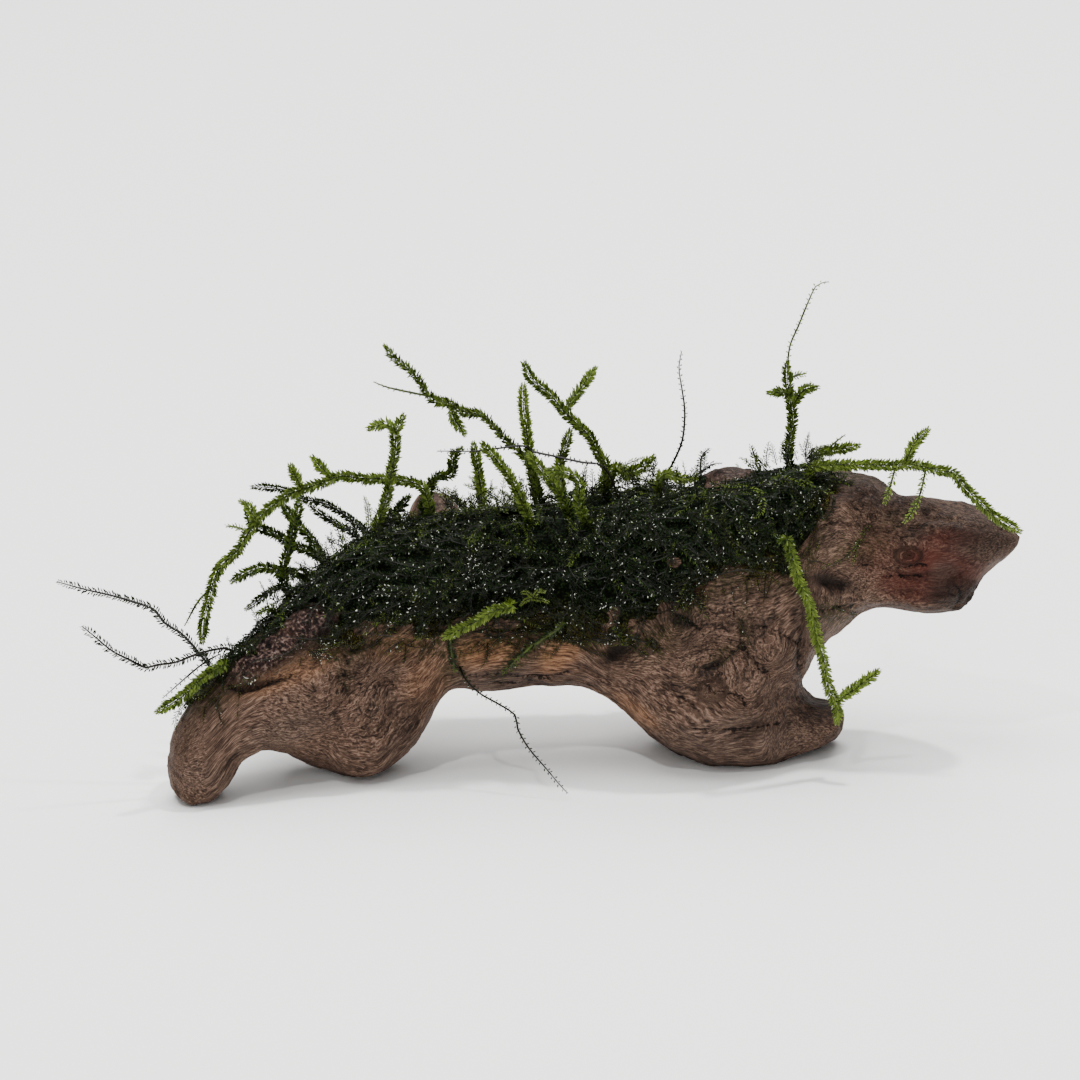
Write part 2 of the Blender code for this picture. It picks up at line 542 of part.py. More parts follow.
def moss_mat(wood, group, material):
    """A thick skin over the top of the wood, lumpy, and thin along its edge."""
    bm = bmesh.new()
    bm.from_mesh(wood.data)
    bm.normal_update()
    bare = [face for face in bm.faces if not under_moss(face.calc_center_median(), face.normal)]
    normals = {vert.index: vert.normal.copy() for vert in bm.verts}
    keys = bm.verts.layers.int.new("source")
    for vert in bm.verts:
        vert[keys] = vert.index
    bmesh.ops.delete(bm, geom=bare, context="FACES")
    trim_ragged_faces(bm)
    skin = new_object("moss_mat", mesh_from(bm, "moss mat"), group)
    keep_largest(skin)
    bm = bmesh.new()
    bm.from_mesh(skin.data)
    trim_ragged_faces(bm)
    keys = bm.verts.layers.int["source"]
    rim = [vert.co.copy() for vert in bm.verts if vert.is_boundary]
    shares = []
    for vert in bm.verts:
        inward = min((vert.co - spot).length for spot in rim)
        ramp = min(1.0, inward / MAT_EDGE_WIDTH)
        tuft = 0.78 + 0.42 * noise.noise(vert.co / MAT_TUFT_SIZE)
        shares.append(MAT_EDGE_SHARE + (1.0 - MAT_EDGE_SHARE) * ramp * tuft)
    for vert in bm.verts:
        vert.co += normals[vert[keys]] * GAP
    bm.to_mesh(skin.data)
    bm.free()
    skin.data.attributes.remove(skin.data.attributes["source"])
    thickness = skin.vertex_groups.new(name="thickness")
    for index, share in enumerate(shares):
        thickness.add([index], min(1.0, share), "REPLACE")
    add_modifier(skin, "SOLIDIFY", thickness=MAT_THICKNESS, offset=1.0, vertex_group="thickness")
    add_modifier(skin, "TRIANGULATE")
    apply_modifiers(skin)
    skin.vertex_groups.clear()
    skin.data.materials.clear()
    skin.data.materials.append(material)
    return skin


def smooth_route(points):
    """Points every SAMPLE_STEP along a smooth curve through the given points."""
    padded = [points[0] * 2 - points[1]] + points + [points[-1] * 2 - points[-2]]
    route = []
    for before, start, end, after in zip(padded, padded[1:], padded[2:], padded[3:]):
        count = max(1, round((end - start).length / SAMPLE_STEP))
        for step in range(count):
            t = step / count
            route.append(0.5 * (2 * start + (end - before) * t
                                + (2 * before - 5 * start + 4 * end - after) * t * t
                                + (3 * start - before - 3 * end + after) * t ** 3))
    route.append(points[-1].copy())
    return route


def at_depths(points, first, last):
    """World places of (across, rise) points whose depth runs evenly from first to last."""
    lengths = [0.0]
    for start, end in zip(points, points[1:]):
        lengths.append(lengths[-1] + math.dist(start, end))
    return [seen_at(across, rise, first + (last - first) * length / lengths[-1])
            for (across, rise), length in zip(points, lengths)]


def clearance(point, ground):
    """Distance to the wood and the mat, negative inside them, with the nearest place and its normal."""
    spot, normal, _, distance = ground.find_nearest(point)
    if (point - spot).dot(normal) < 0.0:
        distance = -distance
    return distance, spot, normal


def rooted(route, radius, ground):
    """The route from where it leaves the mat, kept clear of what lies under it."""
    start = 0
    for index in range(int(len(route) * 0.6)):
        if clearance(route[index], ground)[0] < ROOT_RADIUS + GAP:
            start = index + 1
    route = route[start:]
    distance, spot, normal = clearance(route[0], ground)
    foot = spot + normal * (ROOT_RADIUS + GAP)
    if distance > 4 * SAMPLE_STEP:
        route = smooth_route([foot, route[0]])[:-1] + route
    lifted = []
    length = 0.0
    for index, point in enumerate(route):
        if index:
            length += (point - route[index - 1]).length
        share = min(1.0, length / SWELL_LENGTH)
        room = ROOT_RADIUS + (radius - ROOT_RADIUS) * share + GAP
        distance, spot, normal = clearance(point, ground)
        lifted.append(spot + normal * room if distance < room else point)
    return lifted


def thinned(route, step):
    """Every so many points of a dense route, with both ends."""
    length = sum((b - a).length for a, b in zip(route, route[1:]))
    count = max(2, round(length / step))
    picked = [route[round(index * (len(route) - 1) / count)] for index in range(count + 1)]
    return picked


def tube(name, route, radius, root_radius, group):
    """A closed tube that swells from its root and narrows at its tip."""
    curve = bpy.data.curves.new(name, "CURVE")
    curve.dimensions = "3D"
    curve.bevel_depth = 1.0
    curve.bevel_resolution = (SHOOT_SIDES - 4) // 2
    curve.use_fill_caps = True
    spline = curve.splines.new("POLY")
    spline.points.add(len(route) - 1)
    total = sum((b - a).length for a, b in zip(route, route[1:]))
    run = 0.0
    for index, point in enumerate(route):
        if index:
            run += (point - route[index - 1]).length
        swell = root_radius + (radius - root_radius) * min(1.0, run / SWELL_LENGTH)
        narrow = TIP_RADIUS + (radius - TIP_RADIUS) * min(1.0, (total - run) / TIP_LENGTH)
        spline.points[index].co = (point.x, point.y, point.z, 1.0)
        spline.points[index].radius = min(swell, narrow)
    strand = bpy.data.objects.new(name, curve)
    group.objects.link(strand)
    graph = bpy.context.evaluated_depsgraph_get()
    mesh = bpy.data.meshes.new_from_object(strand.evaluated_get(graph))
    bpy.data.objects.remove(strand)
    bm = bmesh.new()
    bm.from_mesh(mesh)
    bmesh.ops.remove_doubles(bm, verts=bm.verts, dist=0.01 * MM)
    bmesh.ops.triangulate(bm, faces=bm.faces)
    bmesh.ops.recalc_face_normals(bm, faces=bm.faces)
    bm.to_mesh(mesh)
    bm.free()
    return new_object(name, mesh, group)


def nearest_depth(route, point):
    """Depth of a route, in millimetres, where it is seen nearest to (across, rise)."""
    best = min(route, key=lambda place: math.dist(as_seen(place), point))
    return (best.y - AIM.y) / MM


def shoot(name, plan, ground, group, cutters, material):
    """A moss shoot with its side shoots grown on."""
    kind, root_depth, tip_depth, points, sides = plan
    radius = SHOOT_RADIUS[kind]
    route = rooted(smooth_route(at_depths(points, root_depth, tip_depth)), radius, ground)
    stem = tube(name, thinned(route, SHOOT_STEP), radius, ROOT_RADIUS, group)
    for number, (side_kind, added, side_points) in enumerate(sides, 1):
        depth = nearest_depth(route, side_points[0])
        side_route = smooth_route(at_depths(side_points, depth, depth + added))
        side_radius = SHOOT_RADIUS[side_kind]
        side = tube(f"{name}_side_{number}", thinned(side_route, SHOOT_STEP), side_radius,
                    side_radius, cutters)
        side.hide_render = True
        side.display_type = "WIRE"
        cut(stem, "UNION", side)
    keep_largest(stem)
    stem.data.materials.clear()
    stem.data.materials.append(material)
    return stem


def lying_strand(name, plan, ground, group, material):
    """A strand that follows the front of the wood and the mat."""
    kind, points = plan
    radius = SHOOT_RADIUS[kind]
    route = []
    for point in smooth_route([seen_at(across, rise, 0.0) for across, rise in points]):
        spot, normal, _, _ = ground.ray_cast(EYE, (point - EYE).normalized())
        route.append(spot + normal * (radius + GAP * 2))
    strand = tube(name, thinned(route, LYING_STEP), radius, ROOT_RADIUS, group)
    strand.data.materials.clear()
    strand.data.materials.append(material)
    return strand


def ground_of(things):
    """Tree of all the faces of some objects, to measure from."""
    bm = bmesh.new()
    for thing in things:
        bm.from_mesh(thing.data)
    tree = BVHTree.FromBMesh(bm)
    bm.free()
    return tree


def main():
    clear_scene()
    group = new_collection("moss_on_driftwood")
    cutters = new_collection("cutters")
    bark_brown = new_material("wet driftwood", WOOD_COLOUR, WOOD_ROUGHNESS)
    mat_green = new_material("dense moss", MAT_COLOUR, WET_ROUGHNESS)
    shoot_green = new_material("moss shoots", SHOOT_COLOUR, WET_ROUGHNESS)
    wood = whole_wood(group, cutters)
    split_at_forks(wood, group, cutters, bark_brown)
    mat = moss_mat(wood, group, mat_green)
    ground = ground_of([wood, mat])
    bpy.data.objects.remove(wood)
    for name, plan in SHOOTS.items():
        shoot(name, plan, ground, group, cutters, shoot_green)
    for name, plan in LYING_STRANDS.items():
        lying_strand(name, plan, ground, group, shoot_green)


main()
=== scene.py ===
"""Wet aquarium moss on a branching piece of driftwood: the wood's surface, the moss mat and its shoots.

Places are given as seen from the front: across to the right and rise, in millimetres, in the upright
picture plane through AIM, and depth, in millimetres behind that plane. The view comes from the front,
a little from above.
"""

import math
from functools import partial

import bmesh
import bpy
import numpy as np
from bpy.props import FloatProperty, FloatVectorProperty, IntProperty, PointerProperty
from mathutils import Matrix, Vector, noise
from mathutils.bvhtree import BVHTree


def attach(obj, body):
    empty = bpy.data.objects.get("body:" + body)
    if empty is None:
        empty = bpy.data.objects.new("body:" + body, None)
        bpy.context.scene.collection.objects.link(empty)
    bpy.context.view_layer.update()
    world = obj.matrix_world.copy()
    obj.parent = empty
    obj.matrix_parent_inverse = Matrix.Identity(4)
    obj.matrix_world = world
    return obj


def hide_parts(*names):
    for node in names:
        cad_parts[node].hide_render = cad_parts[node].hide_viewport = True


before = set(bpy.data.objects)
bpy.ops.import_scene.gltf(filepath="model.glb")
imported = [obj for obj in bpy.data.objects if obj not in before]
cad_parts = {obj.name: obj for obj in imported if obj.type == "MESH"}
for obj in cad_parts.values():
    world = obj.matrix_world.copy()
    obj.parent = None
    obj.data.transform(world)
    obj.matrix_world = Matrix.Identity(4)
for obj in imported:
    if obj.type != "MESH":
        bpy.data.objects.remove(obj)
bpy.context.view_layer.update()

bl_info = {
    "name": "Moss on Driftwood",
    "version": (1, 0, 0),
    "blender": (4, 5, 0),
    "location": "3D View > Sidebar > Moss",
    "description": "Dresses a piece of driftwood with its grain, a wet moss mat and leafy shoots",
    "category": "Object",
}

MM = 0.001

# How the object is seen
VIEW_TILT = math.radians(18.0)
VIEW_DISTANCE = 1100.0 * MM
VIEW_WIDTH = 194.4 * MM
SENSOR_WIDTH = 36.0
AIM = Vector((0.1, 3.1, 40.5)) * MM
VIEW_DIRECTION = Vector((0.0, math.cos(VIEW_TILT), -math.sin(VIEW_TILT)))
VIEW_UP = Vector((0.0, math.sin(VIEW_TILT), math.cos(VIEW_TILT)))
EYE = AIM - VIEW_DIRECTION * VIEW_DISTANCE

# Nodes of the frame
WOOD_NODES = [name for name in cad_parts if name.startswith("driftwood")]
MAT_NODE = "moss_mat"

# Spacing kept between shoots and what lies under them, as in the frame
GAP = 0.3 * MM
SAMPLE_STEP = 0.5 * MM
SHOOT_RADIUS = {"leafy": 0.85 * MM, "twiggy": 0.85 * MM, "sparse": 0.5 * MM, "bare": 0.28 * MM}
ROOT_RADIUS = 0.3 * MM
SWELL_LENGTH = 3.0 * MM
ROOT_DEPTH = 2.6
MERGE_DISTANCE = 0.001 * MM
# Moss that would reach under the floor stops at this height
LOWEST_MOSS = 0.05 * MM
# What the stems have in the attributes that their material shares with the leaves
STEM_VALUES = {"tint": 0.2, "age": 0.4, "painted_glint": 0.0}

# Wood surface, in millimetres
WOOD_SWELL = 0.25
WOOD_SMOOTHING = 13
GRAIN_RADIUS = 16.0
SWIRL_HEIGHT = 0.03
SWIRL_SIZE = 9.0
CURL_HEIGHT = 0.02
CURL_SIZE = 3.4

# Relief, in millimetres: sizes of its patterns, drawn out along the grain or the same every way, and heights
RIDGE_SIZE = (12.0, 1.5, 1.5)
RIDGE_HEIGHT = 0.11
STRAND_SIZE = (6.0, 0.85, 0.85)
STRAND_HEIGHT = 0.06
FURROW_SIZE = (16.0, 2.2, 2.2)
FURROW_DEPTH = 0.34
LUMP_SIZE = 5.5
LUMP_HEIGHT = 0.5
CRUMB_SIZE = 1.5
CRUMB_HEIGHT = 0.1
CRAG_SIZE = 3.4
CRAG_HEIGHT = 0.1
CRUMBLED_HEIGHT = 0.42
BARK_HEIGHT = 0.5
WINDOW_HEIGHT = 0.8
# Patches of colour where the photo doesn't reach, and crumbled places there
PATCH_SIZE = 11.0
HIDDEN_CRUMBLED_SIZE = 14.0

# Stations along the wood for the run of its fibres: (across, top, bottom, depth of the middle, half depth)
GRAIN_STATIONS = np.array([
    (-67, -38, -42, -24, 7), (-64, -32, -46, -24, 7.5), (-60, -27, -46, -23, 7.5),
    (-55, -22, -40, -20, 9), (-50, -18, -37.5, -16.5, 11), (-43, -12, -39, -11, 12.5),
    (-36, -6.5, -41, -6, 14), (-29, -1.5, -41, -3.5, 15), (-22, 2, -35, -1, 15.5),
    (-17, 3.5, -27.5, 1, 15.5), (-8, 4, -27, 3, 15), (2, 4.6, -26, 4, 14.5),
    (10, 5.5, -27.5, 4, 15.5), (18, 6.2, -33, 2.5, 17.5), (25, 8, -38.5, 1.2, 19),
    (32, 10, -41, 1, 19.5), (40, 11.5, -41, 2, 18.5), (47, 12, -36, 4, 15.5),
    (50, 12.3, -20, 5, 14), (54, 12.5, -15.5, 5.5, 13), (60, 10.5, -12, 5.5, 11.5),
    (66, 7, -12.2, 4, 10.8), (73, 6.8, -13, 2, 10), (78, 5.5, -10, 0.5, 8),
    (83, 3, -4, -1, 5), (87, 0.5, 0, -1.5, 4),
])

# Knots that the fibres flow round on the front: (across, rise, reach, strength)
FRONT_KNOTS = [
    (67.0, -2.7, 2.6, 0.3), (52.6, -7.8, 4.0, -0.35), (13.6, -20.5, 4.0, 0.28), (-40.0, -27.5, 5.0, 0.3),
    (-27.5, -27.5, 4.0, -0.2), (-33.0, -21.5, 3.4, 0.28), (31.0, -22.0, 4.0, -0.2),
    (37.5, -28.5, 5.0, 0.22), (24.5, -16.0, 3.6, 0.24), (42.0, -20.5, 3.4, 0.2), (60.5, 2.5, 3.0, 0.24),
    (71.0, 2.8, 2.2, -0.2), (-6.5, -20.5, 5.0, -0.14), (27.5, -35.0, 4.4, 0.12), (-47.0, -33.5, 4.4, 0.16),
]
BACK_KNOTS = [
    (30.0, -18.0, 4.6, 0.42), (-8.0, -16.0, 5.0, 0.25), (-36.0, -24.0, 5.0, -0.25), (62.0, -4.0, 4.0, 0.3),
    (44.0, -2.0, 4.5, -0.2), (12.0, -22.0, 4.0, 0.25), (-52.0, -30.0, 4.0, 0.2), (38.0, -33.0, 4.5, 0.2),
]

# Eyes of knots on the front, ringed: (across, rise, reach, height by width, strength)
EYES = [(66.3, -2.8, 2.5, 0.65, 1.0), (31.0, -27.0, 2.8, 0.8, 0.4), (18.9, -19.2, 1.9, 0.8, 0.5)]

# Cracks on the front: width and depth in millimetres, points (across, rise)
CRACKS = [
    (0.45, 0.9, [(36.2, -19.4), (33.4, -21.4), (29.7, -22.9)]),
    (0.4, 0.8, [(29.7, -26), (31.6, -27.4), (34.2, -27.6), (36.4, -28.2), (37.2, -30)]),
    (0.5, 0.9, [(47, -18), (46.6, -21.5), (47.2, -25.4)]),
    (0.45, 0.8, [(36.7, -19.6), (38.6, -21.2), (39.4, -23.2), (41.2, -24)]),
    (0.35, 0.7, [(39.6, -15.3), (43, -16.6), (46.8, -18.9)]),
    (0.5, 0.8, [(24.6, -13.2), (27, -14.8), (29.2, -16.2)]),
    (0.35, 0.7, [(28.6, -11.5), (31.4, -13.2)]), (0.3, 0.6, [(33.9, -10.5), (35.2, -14), (36.3, -18.6)]),
    (0.4, 0.7, [(56.5, -11.6), (53.2, -12.2), (50.4, -12.6)]),
    (0.35, 0.6, [(-35.8, -19.5), (-34.6, -21.6), (-35.2, -24.4), (-35.6, -27.2)]),
    (0.35, 0.7, [(-32.4, -16.6), (-32.6, -18.8), (-34.2, -19.6)]),
    (0.3, 0.6, [(-29, -24.4), (-27.2, -25), (-26.2, -26.4)]),
    (0.45, 0.8, [(-57.2, -25.6), (-54.2, -27.4), (-51, -26.8), (-47.4, -25.4), (-43.4, -24.2)]),
    (0.35, 0.5, [(-12.5, -24.6), (-6, -24.2), (0.4, -24.9), (5, -23.6)]),
    (0.3, 0.5, [(-9, -25.6), (-3, -25.7), (2, -25)]), (0.35, 0.6, [(74.6, -7.2), (75.8, -9.6), (75, -11.6)]),
    (0.3, 0.5, [(60.6, -6.4), (65.8, -6.8), (71.2, -6.2)]),
    (0.3, 0.5, [(57, -4.6), (63, -5.1), (69.4, -4.4)]),
    (0.3, 0.4, [(21.5, -26), (26, -28.6), (30, -31.8)]), (0.3, 0.4, [(28, -34), (35, -34.4), (43, -33)]),
]

# Distance from a crack, in its widths, beyond which the wood is whole
CRACK_REACH = 9.0

# Stains on the front: (across, rise, half length, half width, turn in degrees, strength)
RED_STAINS = [
    (72.5, -4.8, 8.5, 3.8, -10, 1.0), (67.5, -8.0, 7.0, 3.2, -6, 0.8), (74.0, 0.2, 6.0, 2.0, 4, 0.8),
    (61.5, -2.5, 5.0, 5.0, 0, 0.35), (27.6, -8.2, 2.6, 2.0, 0, 0.9),
]
ORANGE_STAINS = [
    (-46.5, -24.2, 10.0, 2.6, 20, 0.75), (-9.6, -19.8, 7.0, 3.2, 8, 1.0), (4.6, -19.0, 7.0, 3.0, 48, 0.95),
    (-26.0, -19.0, 6.0, 3.0, 0, 0.5), (-20.5, -25.0, 4.0, 6.0, -20, 0.4), (-43.5, -16.0, 5.0, 2.2, 36, 0.4),
    (17.5, -31.0, 5.0, 1.6, -40, 0.6),
]
GREY_STAINS = [
    (80.0, -2.0, 7.0, 8.0, 0, 0.4), (73.0, -5.5, 3.0, 2.5, 20, 0.7), (-61.0, -42.5, 4.0, 3.0, 0, 0.3),
    (34.0, -36.0, 16.0, 5.0, 5, 0.5), (-5.0, -25.5, 10.0, 1.8, 0, 0.8), (-46.0, -34.0, 8.0, 3.0, 20, 0.5),
]
ALGAE_STAINS = [
    (52.5, -13.2, 4.5, 2.4, -6, 1.0), (-15.8, -21.0, 2.6, 5.5, 0, 1.0), (-4.8, -22.0, 5.5, 1.7, 42, 1.0),
    (3.4, -18.0, 5.0, 1.5, 50, 0.9), (36.6, -14.6, 1.5, 4.6, 8, 0.7), (32.0, -20.8, 3.6, 1.0, 34, 0.8),
    (22.0, -19.0, 5.0, 2.6, 40, 0.5), (57.5, -1.5, 6.0, 2.6, 12, 0.6), (-30.0, -18.8, 8.0, 2.0, 0, 0.6),
    (-35.4, -22.4, 1.8, 5.0, 6, 0.5), (64.0, 3.4, 4.0, 1.8, 30, 0.5),
]
DARK_STAINS = [
    (52.4, -7.6, 4.4, 1.8, -12, 1.0), (13.6, -20.3, 3.2, 1.8, 30, 1.0), (-37.5, -16.2, 6.0, 2.6, 24, 0.8),
    (-33.0, -18.4, 3.0, 2.2, 0, 0.7), (25.5, -14.2, 3.4, 2.0, -30, 0.8), (46.6, -15.0, 1.4, 7.0, 0, 0.5),
    (-51.0, -26.2, 7.5, 0.9, 12, 0.9), (60.8, 5.0, 5.0, 1.2, -24, 0.5), (30.5, -22.8, 3.4, 1.0, 34, 0.8),
    (27.0, -18.6, 2.4, 1.6, 0, 0.5), (51.0, 0.5, 3.0, 2.0, 0, 0.5),
    (62.0, 7.0, 9.0, 2.2, -8, 0.6), (80.0, 0.5, 6.5, 5.5, 0, 0.62), (75.0, -9.8, 6.0, 3.8, 0, 0.85),
    (66.0, -12.5, 9.0, 1.5, 0, 0.4), (24.0, -10.0, 6.0, 5.0, 0, 0.3), (-30.0, -20.0, 8.0, 4.0, 0, 0.25),
    (30.0, -13.0, 9.0, 5.0, 0, 0.3), (33.0, 13.5, 6.0, 3.5, 0, 0.75),
]
# Bark that is left on, and shaggy places where the fibres run down
BARK_PATCHES = [
    (-49.0, -20.4, 9.5, 3.8, 30, 1.0), (-41.5, -15.2, 6.5, 3.4, 30, 1.0), (33.0, 13.5, 6.0, 3.6, 0, 0.7),
    (62.0, 7.5, 9.0, 2.2, -8, 0.5),
]
SHAGGY_PATCHES = [
    (54.6, 7.4, 5.2, 5.4, 0, 1.0), (66.0, 4.4, 10.0, 2.8, -8, 1.0), (33.0, 13.5, 6.0, 3.4, 0, 1.0),
]
# Crumbled places on the front, where the fibres curl
CRUMBLED_PATCHES = [
    (-34.5, -27.0, 8.0, 9.0, 20, 0.9), (-26.5, -29.0, 5.0, 8.0, -20, 0.5), (33.0, -18.5, 11.0, 8.5, -10, 0.9),
    (42.0, -28.0, 9.0, 6.0, 0, 0.5), (-45.0, -21.5, 5.0, 2.0, 30, 0.6), (66.0, 3.0, 12.0, 4.5, -8, 0.9),
    (76.0, -9.5, 4.0, 4.0, 0, 0.9), (60.0, 7.0, 9.0, 4.0, 0, 0.8), (53.0, -10.0, 5.0, 4.0, 0, 0.8),
]
# Openings in the moss on the front, where the wood shows
MAT_WINDOWS = [
    (-50.0, -21.4, 8.0, 2.2, 33, 1.0), (-41.5, -15.0, 6.0, 3.2, 34, 1.0), (21.8, -2.2, 2.4, 1.3, 35, 0.8),
    (24.2, -4.0, 2.0, 1.4, -30, 0.8), (21.0, -14.8, 5.5, 2.6, 35, 1.0), (33.0, -7.4, 4.0, 1.5, 20, 1.0),
    (-27.5, -16.6, 6.0, 1.6, 0, 1.0), (-12.0, -16.0, 9.0, 2.3, 0, 1.0), (12.0, -15.2, 4.0, 1.8, 50, 0.8),
]
# An opening is where its mark is stronger than this share, and down to this depth; some leaves stay in it
WINDOW_SHARE = 0.4
WINDOW_DEPTH = 4.0
WINDOW_REST = 0.25

# Lower edge of the moss mat on the front, from left to right: (across, rise)
MAT_LOWER_EDGE = np.array([
    (-63, -29.5), (-54, -25.5), (-47, -21), (-40, -17.5), (-36, -20), (-30.5, -18), (-18, -18),
    (-3.5, -18), (3.5, -15.5), (11, -18), (18, -18), (25, -14.5), (29, -9), (34, -6.5), (39.5, -5.5),
    (47, -5.5), (50.5, 0), (52, 7), (53.5, 12),
])

